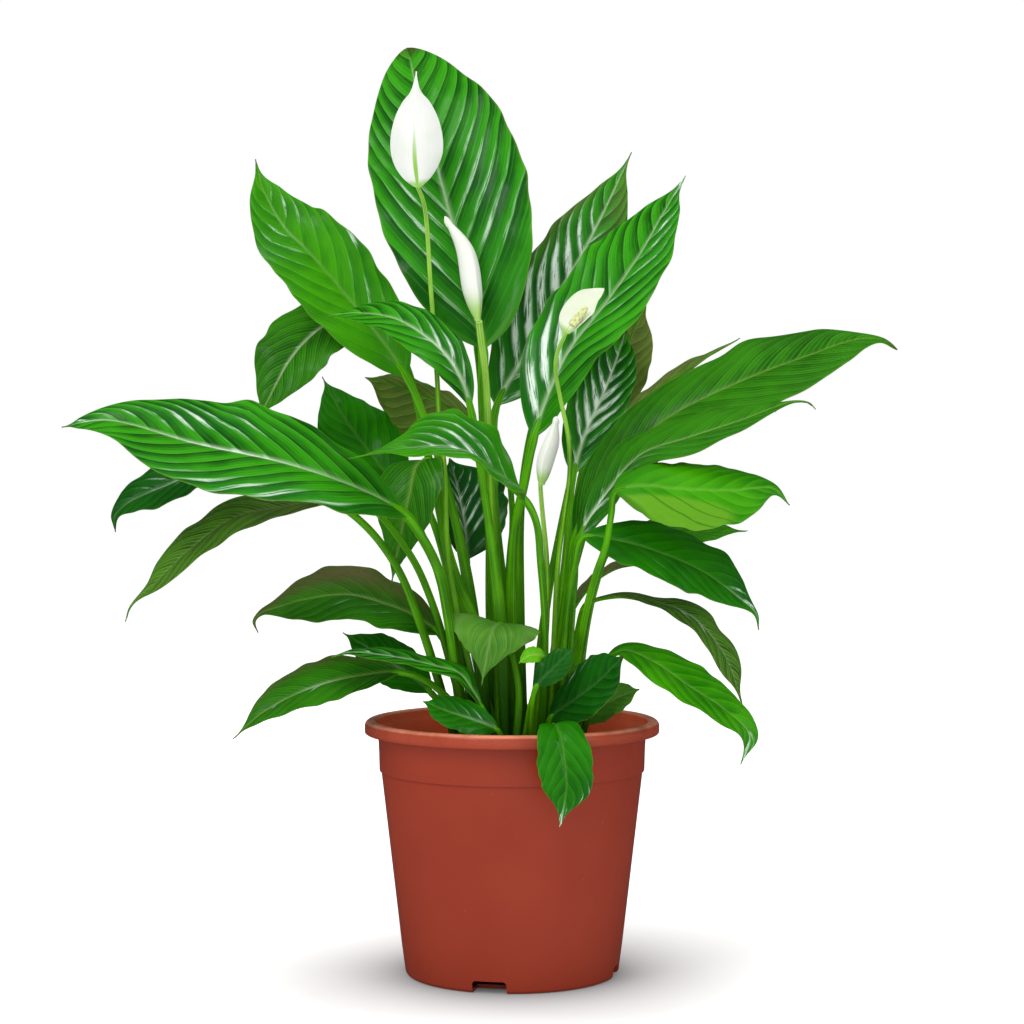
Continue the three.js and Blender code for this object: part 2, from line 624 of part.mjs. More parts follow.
const FLOWERS = {
  tall: {
    stalk: [
      [-14, -18, STEM_FOOT], [-40, -19, 265], [-43, -21, 327], [-46, -17, 353], [-48, -12, 387],
      [-52, -10, 443], [-56, -10, 494], [-59.5, -10, 504],
    ],
    rib: [[-60, -11, 505], [-62, -14, 525], [-62, -13, 550], [-61, -8, 579]],
    face: [[0.1, 1, 0.1], [0.1, 1, 0.1]],
    width: 42, widest: 0.38, full: 0.7, drip: 0.4, fold: 20, curl: 30, stem: 3.4,
    spike: [[-60, -4, 509], [-60, -2, 545]], spikeRadius: 3,
  },
  furled: {
    stalk: [
      [-8, -9, STEM_FOOT], [-9, -9, 227], [-11, -9, 260], [-14, -9, 323], [-17, -9, 386],
      [-20, -9, 410], [-21, -9, 419],
    ],
    rib: [[-21, -10, 420], [-22, -13, 440], [-27, -13, 465], [-43, -6, 487]],
    face: [[-0.4, 0.9, 0], [-0.4, 0.9, 0]],
    width: 36, widest: 0.42, full: 0.6, drip: 0.2, fold: 20, curl: 110, stem: 6,
    spike: [[-23, -6, 428], [-26, -8, 456]], spikeRadius: 2.2,
  },
  open: {
    stalk: [
      [24, -17, STEM_FOOT], [27, -34, 229], [29, -40, 267], [33, -45, 299], [36, -50, 324],
      [35, -55, 346], [30, -58, 370], [27, -60, 387], [28, -60, 398], [32.5, -60, 408.5],
    ],
    rib: [[33, -59, 410], [38, -55, 420], [46, -53, 429], [57, -58, 437]],
    face: [[-0.3, -0.9, 0.3], [-0.3, -0.9, 0.3]],
    width: 25, widest: 0.45, full: 0.6, drip: 0.3, fold: 10, curl: 30, stem: 3.6,
    spike: [[36, -63, 414], [47, -62, 427]], spikeRadius: 2.6,
  },
  bud: {
    stalk: [[13, -17, STEM_FOOT], [22, -28, 228], [22, -30, 268], [19, -30, 301], [18, -30, 314]],
    rib: [[18, -31, 315.5], [19, -33, 330], [24, -33, 345], [28, -30, 359]],
    face: [[0.3, 1, 0], [0.3, 1, 0]],
    width: 30, widest: 0.42, full: 0.55, drip: 0.2, fold: 20, curl: 110, stem: 3.6,
    spike: [[18.5, -28, 321], [22, -28.5, 339]], spikeRadius: 1.8,
  },
};

/** The white hood behind or around a flower's spike. */
function spatheGeometry(plan) {
  const route = new Route(plan.rib);
  const rings = [];
  for (let row = 0; row <= SPATHE.rows; row++) {
    const v = (1 - Math.cos((Math.PI * row) / SPATHE.rows)) / 2;
    const heading = route.heading(v * route.length);
    const normal = facing(plan.face, v, heading);
    const side = new THREE.Vector3().crossVectors(heading, normal);
    const half = Math.max((plan.width / 2) * outline(v, plan), SPATHE.tip);
    const wrapped = Math.min(1, half / SPATHE.wrapFrom);
    const thin = SPATHE.thickness / 2;
    rings.push(ring(route.at(v * route.length), side, normal, half, {
      wings: SPATHE.wings,
      fold: radians(plan.fold) * wrapped,
      curl: radians(plan.curl) * wrapped,
      lift: () => 0,
      ribTop: thin,
      ribUnder: thin * SPATHE.ribSwell,
      thick: [thin, thin, SPATHE.margin / 2],
    }));
  }
  return loft(rings);
}

/** A straight or bent round stalk. */
function stalkGeometry(plan) {
  const route = new Route(plan.stalk);
  const rows = Math.round(STALK.rowsPerPoint * plan.stalk.length);
  const rings = [];
  let normal = new THREE.Vector3(0, -1, 0);
  for (let row = 0; row <= rows; row++) {
    const distance = (row / rows) * route.length;
    const heading = route.heading(distance);
    normal = squareTo(normal, heading);
    const side = new THREE.Vector3().crossVectors(heading, normal);
    const radius = (plan.stem / 2) * lerp(STALK.foot, STALK.head, row / rows);
    rings.push(roundRing(route.at(distance), side, normal, radius, STALK.sides));
  }
  return loft(rings);
}

function roundRing(centre, side, normal, radius, sides) {
  return Array.from({ length: sides }, (_, i) => {
    const turn = (2 * Math.PI * i) / sides;
    return centre
      .clone()
      .addScaledVector(side, radius * Math.cos(turn))
      .addScaledVector(normal, radius * Math.sin(turn));
  });
}

/** The blunt spike of tiny florets inside a hood. */
function spadixGeometry(plan) {
  const [start, end] = plan.spike.map(vec);
  const axis = end.clone().sub(start);
  const heading = axis.clone().normalize();
  const normal = squareTo(new THREE.Vector3(0, -1, 0), heading);
  const side = new THREE.Vector3().crossVectors(heading, normal);
  const rings = SPADIX.profile.map(([share, wide]) => {
    const centre = start.clone().addScaledVector(axis, share);
    return roundRing(centre, side, normal, wide * plan.spikeRadius, SPADIX.sides);
  });
  return loft(rings);
}

// ---------------------------------------------------------------- solids

/** A geometry with merged corners as a solid that can be cut. */
function solid(geometry) {
  const bare = geometry.clone();
  bare.deleteAttribute("normal");
  bare.deleteAttribute("uv");
  const merged = mergeVertices(bare, 1e-4);
  return new wasm.Manifold(new wasm.Mesh({
    numProp: 3,
    vertProperties: new Float32Array(merged.getAttribute("position").array),
    triVerts: new Uint32Array(merged.getIndex().array),
  }));
}

function geometryOf(body) {
  const { vertProperties, triVerts } = body.getMesh();
  const geometry = new THREE.BufferGeometry();
  geometry.setAttribute("position", new THREE.Float32BufferAttribute(vertProperties, 3));
  geometry.setIndex(new THREE.BufferAttribute(triVerts, 1));
  return geometry;
}

/** Turns a profile of [radius, height] about the Z axis. */
function turned(profile, sides) {
  const points = profile.map(([radius, height]) => new THREE.Vector2(radius, height));
  const geometry = new THREE.LatheGeometry(points, sides);
  geometry.rotateX(Math.PI / 2);
  return facingOut(mergeVertices(withoutExtras(geometry), 1e-4));
}

function withoutExtras(geometry) {
  geometry.deleteAttribute("normal");
  geometry.deleteAttribute("uv");
  return geometry;
}

/** Radius of the pot's outer wall at a height under the ledge. */
function wallRadius(height) {
  const top = POT.height - POT.ledgeDrop;
  return lerp(POT.footRadius, POT.neckRadius - 2 * POT.ledgeStep, height / top);
}

/** The moulded pot, with its rolled rim, stacking ledge and notched foot. */
function potGeometry() {
  const { height, rimRadius, mouthRadius, lipHeight, lipRounding, neckRadius, wall } = POT;
  const ledge = height - POT.ledgeDrop;
  const inner = (z) => wallRadius(z) - wall;
  const corner = POT.floor + wall;
  const profile = [
    [0, 0],
    [POT.footRadius - POT.footRounding, 0],
    [POT.footRadius - 0.3 * POT.footRounding, 0.3 * POT.footRounding],
    [wallRadius(POT.footRounding), POT.footRounding],
    [wallRadius(ledge), ledge],
    [neckRadius - POT.ledgeStep, ledge + POT.bevel],
    [neckRadius, height - lipHeight],
    [rimRadius - 0.4 * lipRounding, height - lipHeight],
    [rimRadius, height - lipHeight + 0.5 * lipRounding],
    [rimRadius, height - lipRounding],
    [rimRadius - 0.3 * lipRounding, height - 0.3 * lipRounding],
    [rimRadius - lipRounding, height],
    [mouthRadius + POT.bevel, height],
    [mouthRadius, height - POT.bevel],
    [neckRadius - wall, height - lipHeight],
    [inner(ledge), ledge - POT.bevel],
    [inner(corner), corner],
    [inner(POT.floor) - wall, POT.floor],
    [0, POT.floor],
  ];
  let body = solid(turned(profile, POT.sides));
  for (const bearing of NOTCH.bearings) body = body.subtract(solid(notchCutter(bearing)));
  return geometryOf(body);
}

/** The block that cuts one drain notch through the foot of the wall. */
function notchCutter(bearing) {
  const half = NOTCH.width / 2;
  const arch = new THREE.Shape();
  arch.moveTo(-half, -1);
  arch.lineTo(half, -1);
  arch.lineTo(half, NOTCH.height - NOTCH.rounding);
  arch.quadraticCurveTo(half, NOTCH.height, half - NOTCH.rounding, NOTCH.height);
  arch.lineTo(NOTCH.rounding - half, NOTCH.height);
  arch.quadraticCurveTo(-half, NOTCH.height, -half, NOTCH.height - NOTCH.rounding);
  arch.closePath();
  const block = new THREE.ExtrudeGeometry(arch, {
    depth: 2 * NOTCH.depth, bevelEnabled: false, curveSegments: 3,
  });
  block.rotateX(Math.PI / 2).rotateZ(Math.PI / 2);
  block.translate(wallRadius(0) - NOTCH.depth, 0, 0);
  return block.rotateZ(radians(bearing));
}

/** The mound of potting mix, with a socket for every stem. */
function soilGeometry(feet) {
  const wallInside = (z) => wallRadius(z) - POT.wall - GAP - SOIL.slack;
  const floor = POT.floor + GAP;
  const profile = [
    [0, floor],
    [wallInside(floor) - SOIL.rootGap, floor],
    [wallInside(NOTCH.height), NOTCH.height],
    [wallInside(SOIL.waist), SOIL.waist],
    [wallInside(POT.height - POT.ledgeDrop) + SOIL.slack, SOIL.edge],
    [SOIL.shoulder, SOIL.edge + SOIL.shoulderRise],
    [SOIL.plateau, SOIL.crown - SOIL.crownDrop],
    [0, SOIL.crown],
  ];
  let body = solid(turned(profile, SOIL.sides));
  for (const { foot, heading, radius } of feet) {
    const clear = (radius + GAP) / Math.cos(Math.PI / SOCKET.sides);
    const cutter = new THREE.CylinderGeometry(clear, clear, SOCKET.depth, SOCKET.sides);
    cutter.rotateX(Math.PI / 2).translate(0, 0, SOCKET.depth / 2 - (STEM_FOOT - SOCKET.floor));
    cutter.applyQuaternion(
      new THREE.Quaternion().setFromUnitVectors(new THREE.Vector3(0, 0, 1), heading),
    );
    body = body.subtract(solid(cutter.translate(...foot.toArray())));
  }
  return geometryOf(body);
}

// ---------------------------------------------------------------- the object

const lily = new THREE.Group();

function add(name, geometry, material) {
  geometry.computeVertexNormals();
  const mesh = new THREE.Mesh(geometry, material);
  mesh.name = name;
  lily.add(mesh);
}

const stems = [...Object.values(LEAVES), ...Object.values(FLOWERS)];
const feet = stems.map(({ stalk, stem }) => ({
  foot: vec(stalk[0]),
  heading: vec(stalk[1]).sub(vec(stalk[0])).normalize(),
  radius: (stem / 2) * STALK.foot,
}));

add("pot", potGeometry(), FINISH.pot);
add("soil", soilGeometry(feet), FINISH.soil);
for (const [name, plan] of Object.entries(LEAVES)) add(name, leafGeometry(plan), FINISH.leaf);
for (const [name, plan] of Object.entries(FLOWERS)) {
  add(`flower_stalk_${name}`, stalkGeometry(plan), FINISH.stalk);
  add(`spathe_${name}`, spatheGeometry(plan), FINISH.spathe);
  add(`spadix_${name}`, spadixGeometry(plan), FINISH.spadix);
}

export default lily;
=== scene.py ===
"""Potted peace lily: a clump of arching leaves and four white flowers in a round nursery pot.

Sizes in the tables are millimetres in the part's own frame: +Z up, the origin at the middle of
the pot's flat base, the front on the -Y side. Meshes are made in metres.
"""

import logging
import math
from collections.abc import Sequence
from dataclasses import dataclass
from enum import Enum
from functools import cache, cached_property, reduce

import bpy
import numpy as np
from mathutils import Euler, Matrix, Vector, noise


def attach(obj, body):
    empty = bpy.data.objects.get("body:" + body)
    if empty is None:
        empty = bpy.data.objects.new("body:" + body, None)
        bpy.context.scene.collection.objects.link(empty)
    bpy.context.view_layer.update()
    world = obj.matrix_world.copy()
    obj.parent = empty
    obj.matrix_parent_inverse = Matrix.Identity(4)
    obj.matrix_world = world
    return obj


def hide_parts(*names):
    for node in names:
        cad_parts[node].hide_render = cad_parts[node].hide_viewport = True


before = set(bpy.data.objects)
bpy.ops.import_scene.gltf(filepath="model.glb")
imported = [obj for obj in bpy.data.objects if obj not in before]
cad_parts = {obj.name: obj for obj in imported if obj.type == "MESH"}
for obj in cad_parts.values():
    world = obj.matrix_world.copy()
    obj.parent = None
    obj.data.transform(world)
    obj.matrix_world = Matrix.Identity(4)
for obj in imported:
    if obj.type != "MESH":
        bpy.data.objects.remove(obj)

log = logging.getLogger("peace_lily")
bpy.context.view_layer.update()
MM = 0.001
FULL_TURN = 2 * math.pi
UP = np.array([0, 0, 1.0])

Vec3 = tuple[float, float, float]
Points = tuple[Vec3, ...]
Section = list[tuple[float, float]]  # corners of a profile: radius and height
Rows = np.ndarray
Socket = bpy.types.NodeSocket
Colour = tuple[float, float, float, float]
Input = object  # a socket, a constant, or None to leave a node's input as it is


def srgb(red: float, green: float, blue: float) -> Colour:
    """Turn a screen colour, from 0 to 255, into the linear colour that shaders take."""
    parts = (c / 255 for c in (red, green, blue))
    return (*(c / 12.92 if c <= 0.04045 else ((c + 0.055) / 1.055) ** 2.4 for c in parts), 1.0)


def smooth(value: Rows | float, low: float, high: float) -> Rows:
    """Ease from 0 at low to 1 at high."""
    share = np.clip((np.asarray(value, float) - low) / ((high - low) or 1), 0, 1)
    return share * share * (3 - 2 * share)


def blend(share: Rows | float, start: Rows | float, end: Rows | float) -> Rows:
    """Mix start and end by share."""
    return start + (end - start) * np.asarray(share, float)


def unit(rows: Rows) -> Rows:
    """Give every row vector the length 1."""
    return rows / np.maximum(np.linalg.norm(rows, axis=-1, keepdims=True), 1e-12)


# ------------------------------------------------------------------ node trees as expressions


class Wiring:
    """A node tree that is written as expressions."""

    def __init__(self, tree: bpy.types.NodeTree) -> None:
        """Take the tree to work on."""
        self.tree = tree

    def feed(self, socket: Socket, value: Input) -> None:
        """Join a socket to another, or set it where the value is a constant.

        Args:
            socket: a node's input.
            value: what it gets.
        """
        if isinstance(value, Socket):
            self.tree.links.new(value, socket)
        elif value is not None:
            socket.default_value = value

    def node(self, kind: str, *values: Input, **settings: object) -> bpy.types.Node:
        """Add a node.

        Args:
            kind: the node's type.
            *values: what its inputs get, in order.
            **settings: the node's own properties.

        Returns:
            The new node.
        """
        new = self.tree.nodes.new(kind)
        for key, value in settings.items():
            setattr(new, key, value)
        for socket, value in zip(new.inputs, values):
            self.feed(socket, value)
        return new

    def fill(self, node: bpy.types.Node, **inputs: Input) -> bpy.types.Node:
        """Feed a node's inputs by name.

        Args:
            node: the node.
            **inputs: what they get, with _ for each space in a name.

        Returns:
            The same node.
        """
        for key, value in inputs.items():
            self.feed(node.inputs[key.replace("_", " ")], value)
        return node

    def math(self, operation: str, *values: Input) -> Socket:
        """Return the result of one sum on numbers."""
        return self.node("ShaderNodeMath", *values, operation=operation).outputs[0]

    def plus(self, *terms: Input) -> Socket:
        """Return the sum of all terms."""
        return reduce(lambda total, term: self.math("ADD", total, term), terms)

    def times(self, *factors: Input) -> Socket:
        """Return the product of all factors."""
        return reduce(lambda product, factor: self.math("MULTIPLY", product, factor), factors)

    def scaled(self, value: Input, by: Input, start: Input) -> Socket:
        """Return start plus value times by."""
        return self.math("MULTIPLY_ADD", value, by, start)

    def vector(self, x: Input, y: Input, z: Input = 0.0) -> Socket:
        """Return a vector of three numbers."""
        return self.node("ShaderNodeCombineXYZ", x, y, z).outputs[0]


class Sheet(Wiring):
    """A material in the making."""

    def __init__(self, name: str) -> None:
        """Make an empty material with its main shader.

        Args:
            name: the material's name.
        """
        self.material = bpy.data.materials.new(name)
        self.material.use_nodes = True
        super().__init__(self.material.node_tree)
        self.shader = self.tree.nodes["Principled BSDF"]
        self.colour: Input = None  # of the layers laid so far

    @cached_property
    def place(self) -> Socket:
        """Return the place on the piece, in metres."""
        return self.node("ShaderNodeTexCoord").outputs["Object"]

    def uv(self, name: str) -> tuple[Socket, Socket]:
        """Return the two coordinates of one of the piece's UV maps."""
        parts = self.node("ShaderNodeSeparateXYZ", self.node("ShaderNodeUVMap", uv_map=name).outputs[0])
        return parts.outputs[0], parts.outputs[1]

    def value(self, name: str) -> Socket:
        """Return a number that the mesh carries at every point."""
        return self.node("ShaderNodeAttribute", attribute_name=name).outputs["Fac"]

    def fit(self, value: Input, low: float, high: float, start: float = 0, end: float = 1) -> Socket:
        """Return value eased from start at low to end at high."""
        ends = (low, high, start, end)
        return self.node("ShaderNodeMapRange", value, *ends, interpolation_type="SMOOTHSTEP").outputs[0]

    def mix(self, share: Input, a: Input, b: Input) -> Socket:
        """Return colour a turned towards colour b by share."""
        plain = [None] * 5  # the inputs for numbers and vectors
        return self.node("ShaderNodeMix", share, *plain, a, b, data_type="RGBA").outputs[2]

    def lay(self, share: Input, colour: Input) -> None:
        """Turn the colour so far towards another by share."""
        self.colour = self.mix(share, self.colour, colour)

    def noise(self, where: Socket, scale: float, detail: float = 2, rough: float = 0.5) -> Socket:
        """Return cloudy noise from 0 to 1 at a place."""
        cloud = self.node("ShaderNodeTexNoise")
        return self.fill(cloud, Vector=where, Scale=scale, Detail=detail, Roughness=rough).outputs[0]

    def streaks(self, across: Socket, along: Socket, often: float, seldom: float) -> Socket:
        """Return noise that changes often across the surface and seldom along it."""
        where = self.vector(self.times(across, often), self.times(along, seldom))
        return self.noise(where, 1.0, detail=3, rough=0.6)

    def bump(self, height: Socket, strength: float, distance: float) -> Socket:
        """Return normals bent by a height."""
        bent_by = self.node("ShaderNodeBump")
        return self.fill(bent_by, Height=height, Strength=strength, Distance=distance).outputs[0]

    def finish(self, rough: Input, gloss: float, normal: Input = None, **more: Input) -> bpy.types.Material:
        """Feed the main shader with the colour and with what is given.

        Args:
            rough: the roughness.
            gloss: the specular level.
            normal: the normals.
            **more: what its other inputs get, by name.

        Returns:
            The material.
        """
        self.fill(self.shader, Base_Color=self.colour, Roughness=rough, Specular_IOR_Level=gloss)
        self.fill(self.shader, Normal=normal, **more)
        return self.material


# ------------------------------------------------------------------ finishes

LOBE_SEAM = srgb(58, 108, 14)
LOBE = srgb(92, 152, 26)
LOBE_FIBRE = srgb(80, 140, 20)
BROWN_DEEP = srgb(66, 58, 34)
BROWN_PALE = srgb(112, 102, 66)
# painted highlights on the leaves: the bright sheen, the cooler green under it, and the whiter midrib under
# it
PAINTED_HIGHLIGHT = srgb(220, 238, 222)
PAINTED_SHEEN_GROUND = srgb(14, 84, 34)
PAINTED_RIB_HIGHLIGHT = srgb(214, 234, 206)
MARGIN = srgb(120, 140, 60)
DRY_TIP = srgb(74, 66, 30)
STALK_SHADE = srgb(16, 80, 0)
PLASTIC_SPECKS = srgb(196, 140, 124)
EARTH_GRIT = srgb(96, 72, 50)


class BladeSheet(Sheet):
    """A blade's material in the making, with what its layers share."""

    def __init__(self, name: str) -> None:
        """Read the blade's own coordinates.

        Args:
            name: the material's name.
        """
        super().__init__(name)
        self.reach, self.count = self.uv("veins")  # from midrib to margin; side veins before a place
        self.along = self.uv("blade")[1]
        self.off_vein = self.math("PINGPONG", self.count, 0.5)
        self.cloud = self.noise(self.place, 24, detail=3)
        self.grain = self.noise(self.place, 800, detail=3, rough=0.65)
        self.strip = self.streaks(self.count, self.reach, 1.7, 3.2)
        self.fibres = self.streaks(self.count, self.reach, 13.0, 3.0)
        # where the mesh places painted highlights
        self.silver = self.value("silver")


@dataclass(frozen=True)
class BladeFinish:
    """How one side of a leaf blade looks."""

    name: str
    lit: Colour  # the lighter tone; also painted light on the swollen strips between side veins
    deep_and_shaded: Colour  # the darker tone; also painted shade across each strip and towards the base
    vein: Colour  # the side veins
    rib: Colour  # the midrib
    strip_shade: float = 0.5  # how much painted shade darkens each strip towards the next vein
    vein_share: float = 0.35  # how much the side veins show
    fine_share: float = 0.12  # how much the fine veins between them show
    rib_share: float = 0.6  # how much the midrib shows
    roughness: float = 0.32
    coat: float = 0.16

    def ground(self, s: BladeSheet) -> None:
        """Lay the green of the strips and their veins, with painted shade across each strip and towards the
        blade's base.

        Args:
            s: the material in the making.
        """
        # painted shade: each strip is light beside its vein and darkens towards the next
        saw = s.math("POWER", s.math("SUBTRACT", 1.0, s.math("FRACT", s.count)), 1.5)
        share = s.plus(
            s.scaled(saw, self.strip_shade, 0.38 - 0.36 * self.strip_shade),
            s.scaled(s.cloud, 1.3, -0.55),
            s.scaled(s.fibres, 0.7, -0.35),
        )
        s.colour = s.mix(s.fit(share, 0.0, 0.85), self.deep_and_shaded, self.lit)
        # painted shade: darker towards the blade's base, where other leaves shade it
        s.lay(s.times(s.fit(s.along, 0.4, 0.0), 0.5), self.deep_and_shaded)
        fine = s.fit(s.math("PINGPONG", s.times(s.count, 4.0), 0.5), 0.18, 0.02)
        line = s.times(s.fit(s.off_vein, 0.05, 0.012), self.vein_share, s.fit(s.reach, 1.0, 0.75))
        s.lay(s.math("MAXIMUM", s.times(fine, self.fine_share), line), self.vein)

    def patches(self, s: BladeSheet) -> None:
        """Lay pale lobes and browned places on the green.

        Args:
            s: the material in the making.
        """
        lobe = s.mix(s.fit(s.off_vein, 0.0, 0.12), LOBE_SEAM, LOBE)
        lobe = s.mix(s.fit(s.fibres, 0.3, 0.7, 0.0, 0.4), lobe, LOBE_FIBRE)
        s.lay(s.times(s.fit(s.value("pale"), 0.4, 0.55), 0.95), lobe)
        brown = s.times(s.value("brown"), s.fit(s.strip, 0.15, 0.7, 0.6, 1.0))
        s.lay(brown, s.mix(s.fibres, BROWN_DEEP, BROWN_PALE))

    def painted_highlights(self, s: BladeSheet) -> None:
        """Lay painted highlights: broken bright bands beside the veins, and a thread on each vein.

        Args:
            s: the material in the making.
        """
        # painted sheen: the green turns cooler and darker where the painted highlights lie
        s.lay(s.times(s.silver, 0.45), PAINTED_SHEEN_GROUND)
        near = s.math("ABSOLUTE", s.math("SUBTRACT", s.math("FRACT", s.plus(s.count, 0.43)), 0.5))
        square = s.math("POWER", s.silver, 2.0)
        band = s.fit(s.math("DIVIDE", near, s.scaled(square, 0.36, 0.12)), 1.0, 0.1)
        cover = s.plus(s.scaled(square, 0.08, s.times(s.strip, 0.5)), s.times(s.fibres, 0.5))
        streak = s.times(s.silver, band, s.fit(cover, 0.44, 0.6), 0.9)
        thread = s.times(s.fit(s.reach, 0.02, 0.2), s.fit(s.reach, 1.0, 0.5), s.fit(s.strip, 0.38, 0.56), 0.5)
        core = s.times(s.fit(s.silver, 0.05, 0.6), s.fit(s.off_vein, 0.05, 0.01), thread)
        sheen = s.times(s.math("MAXIMUM", streak, core), s.scaled(s.grain, 0.6, 0.66))
        s.lay(s.fit(sheen, 0.02, 0.9), PAINTED_HIGHLIGHT)

    def edges(self, s: BladeSheet) -> None:
        """Lay the midrib, the margin and the dry tip; where painted highlights lie the midrib turns whiter
        and the dry tip gives way to them.

        Args:
            s: the material in the making.
        """
        # painted highlight: the midrib shows more and whiter under the painted sheen
        rib = s.times(s.value("rib"), s.scaled(s.silver, 0.9 - self.rib_share, self.rib_share))
        s.lay(rib, s.mix(s.silver, self.rib, PAINTED_RIB_HIGHLIGHT))
        s.lay(s.times(s.fit(s.reach, 0.97, 0.998), 0.3), MARGIN)
        s.lay(s.times(s.fit(s.along, 0.95, 1.0), s.scaled(s.silver, -0.6, 0.6)), DRY_TIP)

    def material(self) -> bpy.types.Material:
        """Make the material from the blade's own coordinates and patches.

        Returns:
            The material.
        """
        s = BladeSheet(self.name)
        for layer in (self.ground, self.patches, self.painted_highlights, self.edges):
            layer(s)
        lines = s.math("PINGPONG", s.times(s.count, 6.0), 0.5)
        relief = s.plus(s.times(lines, 0.5), s.times(s.fibres, 1.4), s.times(s.grain, 0.5))
        rough = s.plus(s.scaled(s.grain, 0.16, self.roughness - 0.08), s.times(s.cloud, 0.06))
        normal = s.bump(relief, 0.45, 0.4 * MM)
        return s.finish(rough, 0.16, normal, Coat_Weight=self.coat, Coat_Roughness=0.12)


class Tint(Enum):
    """The sides of blades found on the plant."""

    GLOSSY = BladeFinish(
        "blade_glossy", srgb(46, 146, 2), srgb(2, 70, 0), srgb(110, 172, 70), srgb(150, 195, 120), strip_shade=0.85
    )
    DEEP = BladeFinish(
        "blade_deep", srgb(34, 122, 0), srgb(6, 76, 0), srgb(60, 130, 20), srgb(90, 156, 50),
        strip_shade=0.3, rib_share=0.4,
    )
    PLAIN = BladeFinish(
        "blade_plain", srgb(62, 150, 0), srgb(24, 102, 0), srgb(36, 110, 2), srgb(112, 170, 60),
        strip_shade=0.4, vein_share=0.4, fine_share=0.15, rib_share=0.4,
    )
    DARK = BladeFinish(
        "blade_dark", srgb(20, 92, 10), srgb(4, 54, 6), srgb(44, 104, 30), srgb(70, 130, 60),
        vein_share=0.3, rib_share=0.4,
    )
    MUTED = BladeFinish(
        "blade_muted", srgb(62, 124, 14), srgb(20, 68, 2), srgb(126, 142, 72), srgb(140, 165, 100),
        strip_shade=0.6, vein_share=0.7, fine_share=0.75, rib_share=0.3, roughness=0.42, coat=0.08,
    )
    VEINED = BladeFinish(
        "blade_veined", srgb(41, 121, 2), srgb(6, 74, 0), srgb(104, 144, 46), srgb(130, 162, 74),
        strip_shade=0.3, vein_share=0.4, fine_share=0.3, rib_share=0.5, roughness=0.38, coat=0.1,
    )
    DULL = BladeFinish(
        "blade_dull", srgb(86, 144, 40), srgb(46, 104, 18), srgb(116, 160, 80), srgb(130, 170, 90),
        strip_shade=0.25, vein_share=0.4, fine_share=0.25, rib_share=0.5, roughness=0.48, coat=0.05,
    )
    FRESH = BladeFinish(
        "blade_fresh", srgb(98, 178, 10), srgb(66, 148, 4), srgb(60, 128, 10), srgb(150, 200, 80),
        strip_shade=0.1, vein_share=0.5, fine_share=0.05, rib_share=0.5, roughness=0.46, coat=0.1,
    )
    UNDERSIDE = BladeFinish(
        "blade_underside", srgb(84, 142, 34), srgb(50, 110, 16), srgb(100, 150, 50), srgb(150, 190, 100),
        strip_shade=0.15, fine_share=0.15, roughness=0.5, coat=0.05,
    )
    OLIVE = BladeFinish(
        "blade_olive", srgb(124, 152, 60), srgb(72, 102, 26), srgb(56, 74, 18), srgb(140, 160, 84),
        strip_shade=0.4, vein_share=0.75, fine_share=0.3, rib_share=0.8, roughness=0.5, coat=0.05,
    )


@dataclass(frozen=True)
class StalkFinish:
    """Smooth juicy stalk, darker at its foot by painted shade near the soil."""

    name: str
    foot: Colour
    middle: Colour
    head: Colour

    def material(self) -> bpy.types.Material:
        """Make the material from the place along the stalk.

        Returns:
            The material.
        """
        s = Sheet(self.name)
        around, along = s.uv("blade")
        lengthwise = s.streaks(around, along, 16.0, 2.5)
        # painted shade: the foot is darker where the stalks crowd near the soil
        s.colour = s.mix(s.fit(along, 0.05, 0.5), self.foot, self.middle)
        s.lay(s.fit(along, 0.55, 1.0), self.head)
        dark = s.fit(s.plus(lengthwise, s.times(s.noise(s.place, 30), 0.5)), 0.6, 0.95)
        s.lay(dark, s.mix(0.75, s.colour, STALK_SHADE))
        normal = s.bump(lengthwise, 0.5, 0.6 * MM)
        return s.finish(s.scaled(lengthwise, 0.2, 0.3), 0.18, normal, Coat_Weight=0.06, Coat_Roughness=0.15)


